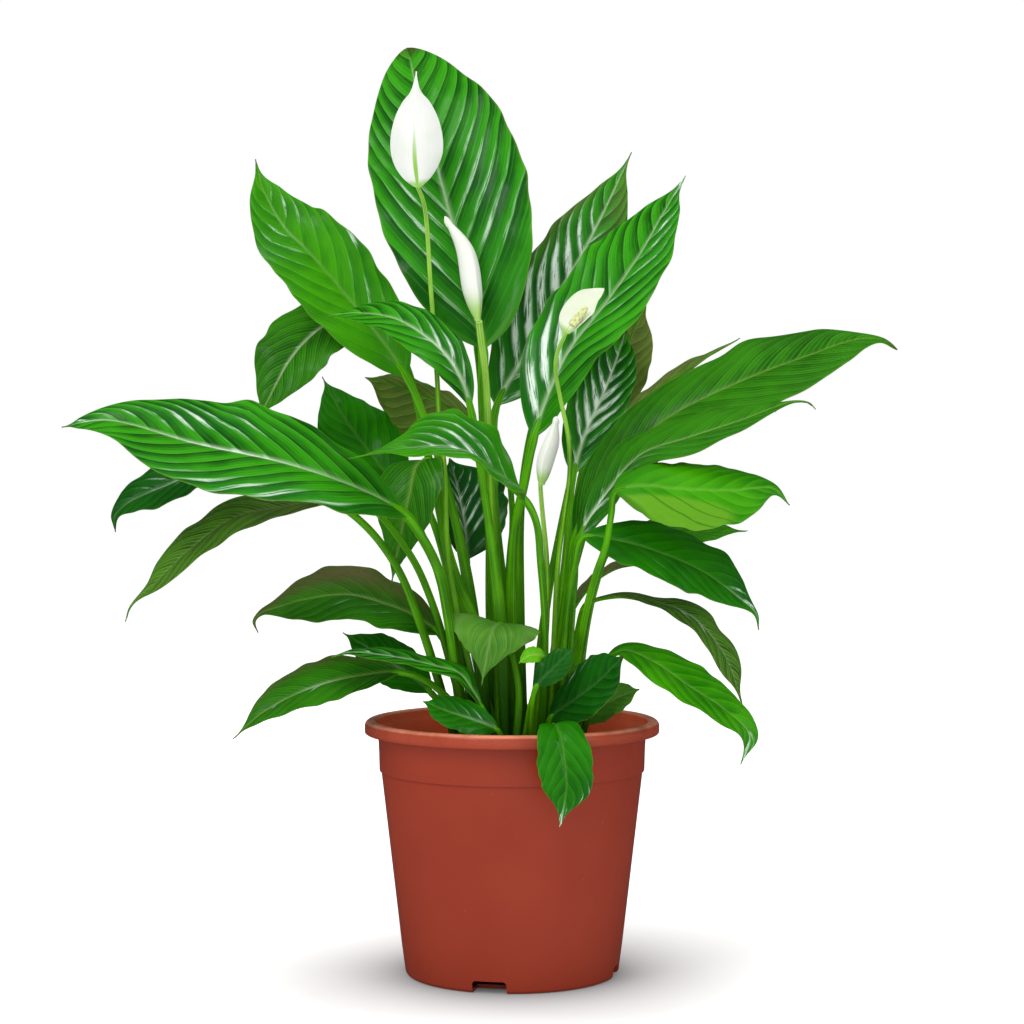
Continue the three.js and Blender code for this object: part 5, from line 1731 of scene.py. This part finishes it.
# Painted highlights lie where each leaf lists its sheen patches.
LEAVES = (
    Leaf(
        "leaf_left_big",
        stalk=((-28, -28, 144), (-33, -38, 184), (-40, -47, 236), (-46, -55, 264), (-58, -64, 288)),
        rib=(
            (-65, -70, 298), (-90, -85, 313), (-136, -103, 330), (-189, -112, 342), (-243, -108, 356),
            (-272, -100, 352),
        ),
        face=((0, -0.6, 0.8), (0.1, -0.75, 0.65)), width=82, drip=0.5, fold=10, stem=8, sheath=0.7,
        skew=-0.08, tail=0.025, puff=0.026,
        silver=(
            Patch(0.5, 0.62, 0.32, 0.22, 0.8), Patch(-0.85, 0.45, 0.2, 0.3, 0.8),
            Patch(0, 0.5, 0.05, 0.26, 0.9), Patch(0.2, 0.95, 0.6, 0.1, 0.6),
        ),
    ),
    Leaf(
        "leaf_left_upper",
        stalk=((-13, 2, 144), (-30, 8, 260), (-44, 12, 320), (-58, 14, 362)),
        rib=(
            (-69, 15, 386), (-104, 20, 433), (-134, 28, 468), (-149, 33, 483), (-163, 38, 507),
            (-172, 44, 529),
        ),
        face=((0, -0.85, 0.4), (0, -0.9, 0.4)), width=60, full=0.7, fold=12, stem=6, sheath=0.4,
        top=Tint.PLAIN, puff=0.025, curl=(3, 0, 0),
        silver=(
            Patch(0.45, 0.25, 0.35, 0.2, 0.5), Patch(-0.45, 0.68, 0.45, 0.14, 0.55),
            Patch(0.5, 0.78, 0.4, 0.14, 0.55), Patch(0.95, 0.5, 0.15, 0.08, 0.9),
        ),
    ),
    Leaf(
        "leaf_left_arching",
        stalk=((-4, -19, 144), (-8, -20, 235), (-16, -22, 300), (-23, -24, 345)),
        rib=(
            (-26, -25, 363), (-31, -31, 380), (-42, -38, 398), (-57, -42, 411), (-73, -40, 420),
            (-96, -30, 424), (-120, -15, 423),
        ),
        face=((0, -0.8, 0.45), (0, -0.45, 0.9)), width=36, widest=0.5, full=1.1, drip=0.3, stem=6,
        sheath=0.5,
        silver=(Patch(0.2, 0.3, 0.7, 0.24, 0.8),),
    ),
    Leaf(
        "leaf_left_hanging",
        stalk=((-22, 2, 144), (-38, 14, 250), (-54, 26, 330), (-72, 42, 398)),
        rib=(
            (-89, 44, 418), (-117, 37, 422), (-132, 30, 412), (-145, 22, 396), (-155, 17, 377),
            (-165, 12, 356),
        ),
        face=((0, -0.6, 0.8), (-0.3, -0.9, 0.2)), width=54, full=0.8, fold=6, stem=6, sheath=0.4,
        top=Tint.VEINED, puff=0.03,
        silver=(Patch(0, 0.5, 0.1, 0.4, 0.5),),
    ),
    Leaf(
        "leaf_left_dark_tip",
        stalk=(
            (-24, -17, 144), (-36, -24, 190), (-50, -32, 240), (-64, -40, 272), (-92, -46, 306),
            (-130, -46, 328),
        ),
        rib=(
            (-156, -47, 334), (-185, -53, 328), (-212, -57, 317), (-238, -60, 305), (-246, -61, 297),
            (-246, -61, 287),
        ),
        face=((0, -0.5, 0.85), (0, -0.6, 0.8)), width=42, widest=0.5, full=0.8, fold=6, top=Tint.DARK,
        tail=0.09,
        silver=(Patch(0.2, 0.5, 0.6, 0.3, 0.5),),
    ),
    Leaf(
        "leaf_left_drooping",
        stalk=((-34, -17, 144), (-42, -28, 176), (-57, -36, 226), (-72, -42, 264), (-93, -48, 292)),
        rib=(
            (-113, -50, 305), (-146, -55, 302), (-172, -58, 296), (-199, -60, 277), (-223, -58, 254),
            (-238, -55, 240), (-241, -55, 231),
        ),
        face=((0, -0.45, 0.9), (-0.5, -0.6, 0.6)), width=38, drip=0.5, fold=6, stem=6, top=Tint.MUTED,
        tail=0.12, puff=0.055,
        brown=(Patch(0, 0.1, 2, 0.3, 0.3),),
    ),
    Leaf(
        "leaf_left_lower",
        stalk=((-28, -7, 144), (-33, -6, 180), (-38, -5, 205)),
        rib=(
            (-46, -5, 219), (-62, -8, 231), (-81, -10, 239), (-104, -12, 245), (-132, -12, 242),
            (-151, -10, 236.5), (-161, -9, 233), (-165.5, -8, 227.5), (-163, -8, 220.5),
        ),
        face=((0, -0.6, 0.8), (0, -0.6, 0.8)), width=54, full=0.8, stem=6, top=Tint.VEINED, tail=0.13,
        puff=0.03,
        brown=(Patch(0.75, 0.5, 0.45, 0.5, 1.0), Patch(0, 0.95, 1, 0.12, 0.7)),
        silver=(Patch(-0.4, 0.4, 0.4, 0.2, 0.4),),
    ),
    Leaf(
        "leaf_left_shaded",
        stalk=((-32, 3, 144), (-40, 4, 165)),
        rib=((-53, 5, 181), (-67, 8, 192), (-84, 10, 203), (-110, 12, 219)),
        face=((0, -0.7, 0.7), (0, -0.7, 0.7)), width=36, full=0.8, drip=0.3, sheath=0.2, top=Tint.DEEP,
        silver=(Patch(0, 0.5, 0.6, 0.3, 0.3),),
    ),
    Leaf(
        "leaf_left_narrow",
        stalk=((-14, -37, 144), (-16, -50, 163)),
        rib=(
            (-18, -56, 176), (-25, -58, 189), (-33, -58, 199), (-46, -58, 203), (-62, -58, 207),
            (-80, -58, 210), (-100, -58, 212), (-114, -58, 209),
        ),
        face=((0.1, -0.3, 0.95), (0, -0.25, 0.95)), width=26, widest=0.5, full=0.8, drip=0.3, sheath=0.2,
        silver=(Patch(0, 0.75, 0.7, 0.3, 0.6),),
    ),
    Leaf(
        "leaf_left_lowest",
        stalk=((-24, -37, 144), (-34, -50, 175), (-52, -46, 192)),
        rib=(
            (-70, -40, 198), (-95, -42, 196), (-116, -48, 192), (-138, -54, 184), (-157, -58, 173),
            (-174, -60, 158),
        ),
        face=((0, -0.55, 0.85), (-0.2, -0.6, 0.8)), width=42, widest=0.42, full=0.8, drip=0.5, fold=8,
        sheath=0.2, top=Tint.VEINED, puff=0.035,
        silver=(Patch(-0.1, 0.45, 0.25, 0.12, 0.6), Patch(-0.2, 0.7, 0.2, 0.06, 0.7)),
        brown=(Patch(0.9, 0.4, 0.2, 0.5, 0.6),),
    ),
    Leaf(
        "leaf_left_back",
        stalk=((-17, 12, 144), (-36, 24, 210), (-54, 38, 270)),
        rib=((-74, 50, 309), (-94, 60, 334), (-115, 78, 362), (-129, 92, 387)),
        face=((0, -0.8, 0.6), (0, -0.9, 0.4)), width=52, widest=0.4, drip=0.35, fold=6, top=Tint.DEEP,
        puff=0.02,
    ),
    Leaf(
        "leaf_left_olive",
        stalk=((-2, 22, 144), (-3, 52, 230), (0, 84, 300), (-8, 100, 340)),
        rib=((-24, 102, 354), (-45, 104, 368), (-66, 106, 377), (-83, 108, 383), (-101, 110, 387)),
        face=((0, 0.59, 0.81), (0, 0.59, 0.81)), width=84, widest=0.5, full=0.8, fold=-26, under=Tint.OLIVE,
    ),
    Leaf(
        "leaf_middle_tall",
        stalk=((-4, 1, 144), (-10, 3, 227), (-12, 3, 260), (-16, 4, 323), (-19, 6, 375)),
        rib=((-19, 8, 404), (-31, 14, 455), (-46, 28, 512), (-61, 50, 568), (-70, 70, 606)),
        face=((-0.1, -1, 0.1), (-0.1, -1, 0.3)), width=102, widest=0.48, full=0.62, drip=0.1, fold=8,
        stem=8, sheath=0.2, skew=0.1, tail=0, frill=0.012,
        silver=(Patch(-0.45, 0.42, 0.4, 0.34, 0.62), Patch(0.45, 0.42, 0.5, 0.36, 0.6)),
    ),
    Leaf(
        "leaf_middle_arched",
        stalk=((19, -27, 144), (21, -50, 227), (18, -68, 268), (15, -79, 294)),
        rib=(
            (8, -85, 308), (-10, -98, 324), (-25, -106, 335), (-43, -112, 340), (-61, -114, 339),
            (-79, -112, 337), (-99, -108, 333),
        ),
        face=((0, -0.5, 0.87), (0, -0.5, 0.87)), width=72, widest=0.34, full=1.0, drip=0.7, fold=18, stem=6,
        sheath=0.4, top=Tint.PLAIN,
        silver=(Patch(0, 0.42, 0.75, 0.26, 0.95),),
    ),
    Leaf(
        "leaf_middle_silver",
        stalk=((-7, 12, 144), (-24, 32, 200), (-30, 46, 245)),
        rib=((-30, 54, 265), (-32, 58, 289), (-36, 62, 309), (-42, 66, 332)),
        face=((0.55, -0.8, 0.1), (0.5, -0.8, 0.3)), width=64, widest=0.5, full=0.7, drip=0.3, fold=24,
        sheath=0.2, top=Tint.DARK,
        silver=(Patch(0, 0.5, 0.9, 0.45, 0.85),),
    ),
    Leaf(
        "leaf_middle_folded",
        stalk=((-17, -9, 144), (-22, -9, 215), (-36, -6, 254), (-44, -2, 285), (-47, 4, 318)),
        rib=((-54, -6, 331), (-61, -19, 327), (-65, -27, 309), (-70, -29, 286), (-77, -28, 250)),
        face=((-0.3, -0.3, 0.9), (-0.1, -1, 0)), width=46, widest=0.3, full=0.7, stem=7, sheath=0.7,
        top=Tint.VEINED, puff=0.015,
    ),
    Leaf(
        "leaf_right_striped",
        stalk=((6, 3, 144), (-4, 8, 230), (-11, 18, 300), (-12, 28, 345)),
        rib=((-10, 35, 367), (8, 45, 399), (25, 55, 431), (44, 66, 463), (62, 78, 498), (81, 92, 539)),
        face=((0, -1, 0.2), (-0.1, -1, 0.4)), width=62, widest=0.42, full=0.7, fold=8, stem=6,
        silver=(Patch(-0.4, 0.42, 0.6, 0.4, 1.1), Patch(0.5, 0.3, 0.5, 0.32, 1.0)),
        brown=(Patch(-1, 0.7, 0.25, 0.4, 0.6), Patch(0.6, 0.85, 0.6, 0.2, 0.5)),
    ),
    Leaf(
        "leaf_right_upper",
        stalk=((2, -8, 144), (-1, -10, 228), (1, -11, 283), (8, -12, 317)),
        rib=(
            (14, -10, 346), (25, -5, 377), (37, 2, 402), (61, 12, 433), (84, 25, 466), (99, 38, 492),
            (115, 52, 519),
        ),
        face=((-0.45, -0.85, 0.3), (-0.4, -0.85, 0.4)), width=66, widest=0.46, drip=0.35, fold=16, stem=7,
        sheath=0.4,
        silver=(
            Patch(-0.5, 0.2, 0.55, 0.28, 1.1), Patch(0, 1.0, 1.5, 0.07, 1.3),
            Patch(0.5, 0.78, 0.5, 0.14, 0.65), Patch(0.3, 0.55, 0.4, 0.2, 0.4),
        ),
    ),
    Leaf(
        "leaf_right_streaked",
        stalk=((16, 3, 144), (28, 4, 210), (36, 4, 285)),
        rib=((40, 5, 323), (48, 12, 349), (60, 20, 375), (69, 28, 398), (75, 36, 416)),
        face=((-0.1, -1, 0.2), (-0.1, -1, 0.4)), width=38, widest=0.5, full=0.65, drip=0.2, fold=10,
        silver=(Patch(0, 0.45, 1.0, 0.42, 1.1),),
    ),
    Leaf(
        "leaf_right_olive",
        stalk=((12, 13, 144), (22, 38, 230), (34, 52, 295)),
        rib=((43, 55, 332), (58, 68, 369), (75, 80, 403), (91, 92, 435)),
        face=((0.3, 0.8, 0.4), (0.3, 0.8, 0.5)), width=46, widest=0.5, full=0.65, drip=0.2, fold=-6,
        wave=0.12, under=Tint.OLIVE,
        brown=(Patch(0, 0.5, 2, 2, 0.3),),
    ),
    Leaf(
        "leaf_right_slender",
        stalk=((22, 13, 144), (30, 30, 220), (40, 34, 290)),
        rib=((49, 35, 332), (69, 40, 354), (92, 46, 375), (116, 52, 392), (134, 57, 402), (152, 60, 412)),
        face=((-0.4, 0.3, 0.9), (-0.3, 0.3, 0.9)), width=34, fold=0, wave=0.08, under=Tint.OLIVE,
        brown=(Patch(0, 0.5, 2, 2, 0.25),),
    ),
    Leaf(
        "leaf_right_big",
        stalk=((21, -7, 144), (30, -16, 210), (36, -22, 255)),
        rib=(
            (39, -25, 279), (56, -28, 317), (78, -32, 342), (101, -35, 360), (151, -40, 384),
            (186, -40, 397), (216, -36, 407), (233, -33, 407), (243, -32, 401),
        ),
        face=((-0.4, -0.7, 0.6), (0, -0.5, 0.87)), width=72, widest=0.6, fold=6, stem=7, sheath=0.5,
        skew=0.16, top=Tint.VEINED, tail=0.08, puff=0.022,
    ),
    Leaf(
        "leaf_right_second",
        stalk=((30, -8, 144), (35, -26, 200), (39, -38, 255)),
        rib=(
            (41, -46, 280), (59, -53, 311), (80, -64, 335), (110, -76, 346), (140, -80, 356),
            (172, -80, 367.5), (182, -79, 367), (186, -78, 363),
        ),
        face=((-0.4, -0.5, 0.75), (0, -0.4, 0.9)), width=52, widest=0.42, fold=6, stem=6, sheath=0.5,
        top=Tint.VEINED, tail=0.1, puff=0.03,
        silver=(Patch(0.2, 0.12, 0.7, 0.2, 0.8), Patch(0.5, 0.5, 0.5, 0.3, 0.25)),
    ),
    Leaf(
        "leaf_right_bright",
        stalk=(
            (38, -28, 144), (41, -44, 201), (45, -68, 235), (51, -88, 262), (57, -97, 281), (60, -102, 300),
        ),
        rib=(
            (62, -108, 313), (77, -111, 317), (101, -112, 315), (131, -111, 314), (157, -110, 315),
            (167, -108, 305),
        ),
        face=((-0.1, -0.75, 0.66), (0, -0.75, 0.66)), width=58, widest=0.42, full=0.66, fold=-20,
        sheath=0.2, skew=-0.12, top=Tint.PLAIN, tail=0.1, puff=0.012, ripple=0.02,
        pale=(Patch(0.78, 0.33, 0.7, 0.4, 0.85),),
    ),
    Leaf(
        "leaf_right_glossy",
        stalk=((33, -18, 144), (32, -38, 210), (35, -50, 246), (39, -59, 266)),
        rib=(
            (44, -67, 284), (67, -75, 282), (91, -81, 275), (116, -82, 264), (137, -84, 249),
            (149, -84, 238), (151, -84, 228),
        ),
        face=((0.1, -0.6, 0.8), (0.4, -0.6, 0.7)), width=54, sheath=0.2, top=Tint.DEEP, tail=0.1,
        puff=0.012,
        silver=(Patch(-0.3, 0.85, 0.4, 0.1, 0.9), Patch(0.6, 0.45, 0.4, 0.2, 0.3)),
    ),
    Leaf(
        "leaf_right_hidden",
        stalk=((44, 2, 144), (45, 2, 200), (54, 0, 250)),
        rib=((64, -2, 275), (89, -5, 284), (121, -8, 285), (151, -10, 286)),
        face=((0, -0.4, 0.9), (0, -0.4, 0.9)), width=38, sheath=0.2, top=Tint.PLAIN,
    ),
    Leaf(
        "leaf_right_brown",
        stalk=((30, 5, 144), (31, 14, 190)),
        rib=((34, 18, 223), (51, 24, 249), (68, 27, 260), (89, 30, 263)),
        face=((-0.5, 0.2, 0.85), (-0.2, 0.2, 0.95)), width=28, widest=0.5, drip=0.3, fold=12, sheath=0.2,
        top=Tint.MUTED,
        brown=(Patch(0, 0.5, 2, 1.5, 0.9),),
    ),
    Leaf(
        "leaf_right_twisted",
        stalk=((36, -4, 144), (38, -8, 190), (42, -8, 222)),
        rib=(
            (48, -8, 239), (67, -14, 245), (87, -21, 242), (107, -28, 236), (121, -34, 226),
            (135, -38, 206), (145, -40, 178),
        ),
        face=((-0.2, 0.1, 0.95), (0.6, -0.6, 0.5)), width=32, widest=0.6, drip=0.5, sheath=0.2, wave=0.08,
        top=Tint.MUTED,
        silver=(Patch(0.2, 0.5, 0.3, 0.2, 0.8),),
        brown=(Patch(0, 0.1, 2, 0.2, 0.3),),
    ),
    Leaf(
        "leaf_right_low",
        stalk=((42, -19, 144), (49, -34, 175), (54, -44, 195)),
        rib=(
            (58, -50, 206), (69, -56, 213), (88, -72, 207), (109, -84, 193), (128, -92, 181),
            (144, -96, 165), (139, -97, 147),
        ),
        face=((0.1, -0.5, 0.85), (0.5, -0.6, 0.6)), width=38, widest=0.5, full=0.8, fold=6, sheath=0.2,
        top=Tint.PLAIN, puff=0.03,
        silver=(Patch(0, 0.95, 1.2, 0.1, 0.9),),
    ),
    Leaf(
        "leaf_right_broad",
        stalk=((28, -30, 144), (24, -38, 158)),
        rib=((24, -44, 169), (37, -58, 181), (54, -74, 196), (68, -86, 212)),
        face=((-0.3, -0.8, 0.5), (-0.3, -0.8, 0.5)), width=38, widest=0.55, full=0.65, drip=0.2, sheath=0,
        top=Tint.DARK, puff=0.02,
        silver=(Patch(-0.9, 0.4, 0.3, 0.4, 0.5),),
    ),
    Leaf(
        "leaf_right_mottled",
        stalk=((47, -8, 144), (45, -11, 154)),
        rib=((44, -14, 163), (60, -20, 176), (81, -26, 186)),
        face=((0, -0.7, 0.7), (0, -0.7, 0.7)), width=26, widest=0.5, full=0.7, drip=0.2, stem=4, sheath=0,
        top=Tint.DULL,
    ),
    Leaf(
        "leaf_low_over_rim",
        stalk=((22, -39, 144), (23, -58, 158)),
        rib=(
            (25, -78, 169), (27, -90, 170), (30, -99, 162), (32, -102, 149), (33, -103, 134),
            (29, -102, 110),
        ),
        face=((0, -0.3, 0.95), (0, -1, 0)), width=34, widest=0.5, full=0.7, fold=6, stem=4, sheath=0,
        top=Tint.DEEP, puff=0.012, tail=0.12,
        silver=(Patch(0, 1.0, 1.5, 0.13, 1.2), Patch(-0.9, 0.72, 0.25, 0.1, 0.6)),
    ),
    Leaf(
        "leaf_low_pale",
        stalk=((2, -36, 144), (4, -32, 190)),
        rib=((-7, -37, 228), (-12, -47, 225), (-16, -54, 208), (-19, -56, 191)),
        face=((0, -0.3, 0.95), (0, -1, 0.2)), width=62, widest=0.16, full=0.38, drip=0.2, sheath=0.2,
        top=Tint.DULL, puff=0.02,
    ),
    Leaf(
        "leaf_low_stub",
        stalk=((6, -43, 144), (12, -52, 180)),
        rib=((20, -63, 209), (12, -66, 211), (4, -66, 206)),
        face=((0, -0.8, 0.6), (0, -0.8, 0.6)), width=12, widest=0.4, full=0.7, drip=0.1, stem=4, sheath=0,
        top=Tint.FRESH,
    ),
    Leaf(
        "leaf_low_small",
        stalk=((14, -39, 144), (12, -60, 170)),
        rib=((15, -70, 192), (26, -71, 204), (38, -72, 216)),
        face=((0, -0.9, 0.4), (0, -0.9, 0.4)), width=18, widest=0.5, full=0.7, drip=0.2, stem=4, sheath=0,
        top=Tint.DARK,
    ),
    Leaf(
        "leaf_low_left",
        stalk=((-6, -41, 144), (-6, -56, 154)),
        rib=((-9, -63, 164), (-25, -68, 171.5), (-41, -71, 177), (-55, -72, 183)),
        face=((0, -0.8, 0.6), (0, -0.8, 0.6)), width=24, widest=0.5, full=0.7, drip=0.1, stem=4, sheath=0,
        top=Tint.DEEP, puff=0.02,
        silver=(Patch(0.3, 0.3, 0.4, 0.3, 0.5),),
    ),
    Leaf(
        "leaf_back_tall",
        stalk=((-12, 22, 144), (-14, 46, 230), (-15, 76, 300), (-20, 88, 370)),
        rib=((-24, 95, 410), (-32, 108, 460), (-44, 128, 510), (-50, 150, 545)),
        face=((0, -0.95, 0.3), (0, -0.6, 0.8)), width=58, fold=8, stem=6,
        silver=(Patch(0.3, 0.5, 0.4, 0.3, 0.8),),
    ),
    Leaf(
        "leaf_back_right",
        stalk=((8, 24, 144), (5, 48, 230), (6, 66, 300), (12, 80, 345)),
        rib=((20, 90, 372), (38, 110, 410), (58, 135, 445), (76, 160, 470)),
        face=((-0.3, -0.8, 0.4), (-0.3, -0.7, 0.7)), width=48, fold=8, stem=6, top=Tint.PLAIN,
    ),
    Leaf(
        "leaf_back_left_spread",
        stalk=((-22, 24, 144), (-32, 46, 200), (-44, 60, 260), (-54, 66, 292)),
        rib=((-62, 72, 305), (-90, 86, 316), (-130, 105, 322), (-165, 128, 320), (-192, 145, 312)),
        face=((0.1, -0.2, 1), (-0.1, 0, 1)), width=46, drip=0.5, fold=8, stem=6,
        silver=(Patch(-0.3, 0.5, 0.5, 0.3, 0.8),),
    ),
    Leaf(
        "leaf_back_right_spread",
        stalk=((20, 24, 144), (32, 44, 220), (46, 56, 275)),
        rib=((54, 60, 300), (85, 82, 330), (125, 108, 352), (160, 130, 362), (185, 145, 364)),
        face=((-0.1, -0.2, 1), (0.1, 0, 1)), width=46, drip=0.5, fold=8, stem=6, top=Tint.MUTED,
    ),
)

FLOWERS = (
    Flower(
        "tall",
        stalk=(
            (-14, -18, 144), (-40, -19, 265), (-43, -21, 327), (-46, -17, 353), (-48, -12, 387),
            (-52, -10, 443), (-56, -10, 494), (-59.5, -10, 504),
        ),
        rib=((-60, -11, 505), (-62, -14, 525), (-62, -13, 550), (-61, -8, 579)),
        face=(0.1, 1, 0.1), width=42, widest=0.38, full=0.7, drip=0.4, fold=20, curl=30, stem=3.4,
        tail=0.55, spike=Spike((-60, -4, 509), (-60, -2, 545), 3, 260),
    ),
    Flower(
        "furled",
        stalk=(
            (-8, -9, 144), (-9, -9, 227), (-11, -9, 260), (-14, -9, 323), (-17, -9, 386), (-20, -9, 410),
            (-21, -9, 419),
        ),
        rib=((-21, -10, 420), (-22, -13, 440), (-27, -13, 465), (-43, -6, 487)),
        face=(-0.4, 0.9, 0), width=36, widest=0.42, full=0.6, drip=0.2, fold=20, curl=110, stem=5.4,
        back=HOOD_FURLED, spike=Spike((-23, -6, 428), (-26, -8, 456), 2.2, 180),
    ),
    Flower(
        "open",
        stalk=(
            (24, -17, 144), (27, -34, 229), (29, -40, 267), (33, -45, 299), (36, -50, 324), (35, -55, 346),
            (30, -58, 370), (27, -60, 387), (28, -60, 398), (32.5, -60, 408.5),
        ),
        rib=((33, -59, 410), (39, -55, 420), (47, -53, 429), (57, -58, 438)),
        face=(-0.3, -0.9, 0.3), width=21, widest=0.45, full=0.6, drip=0.3, fold=10, curl=30, stem=3.2,
        spike=Spike((37, -63, 415), (46, -62, 426), 1.9, 150),
    ),
    Flower(
        "bud",
        stalk=((13, -17, 144), (22, -28, 228), (22, -30, 268), (19, -30, 301), (18, -30, 314)),
        rib=((18, -31, 315.5), (19, -33, 330), (24, -33, 345), (28, -30, 359)),
        face=(0.3, 1, 0), width=30, widest=0.42, full=0.55, drip=0.2, fold=20, curl=110, stem=3.6,
        back=HOOD_FURLED, spike=Spike((18.5, -28, 321), (22, -28.5, 339), 1.8, 110),
    ),
)


def main() -> None:
    """Build the plant in its pot, piece by piece."""
    logging.basicConfig(level=logging.INFO, format="%(name)s: %(message)s")
    for part in (Studio(), Pot(), Soil(), *LEAVES, *FLOWERS):
        part.build()


if __name__ == "__main__":
    main()
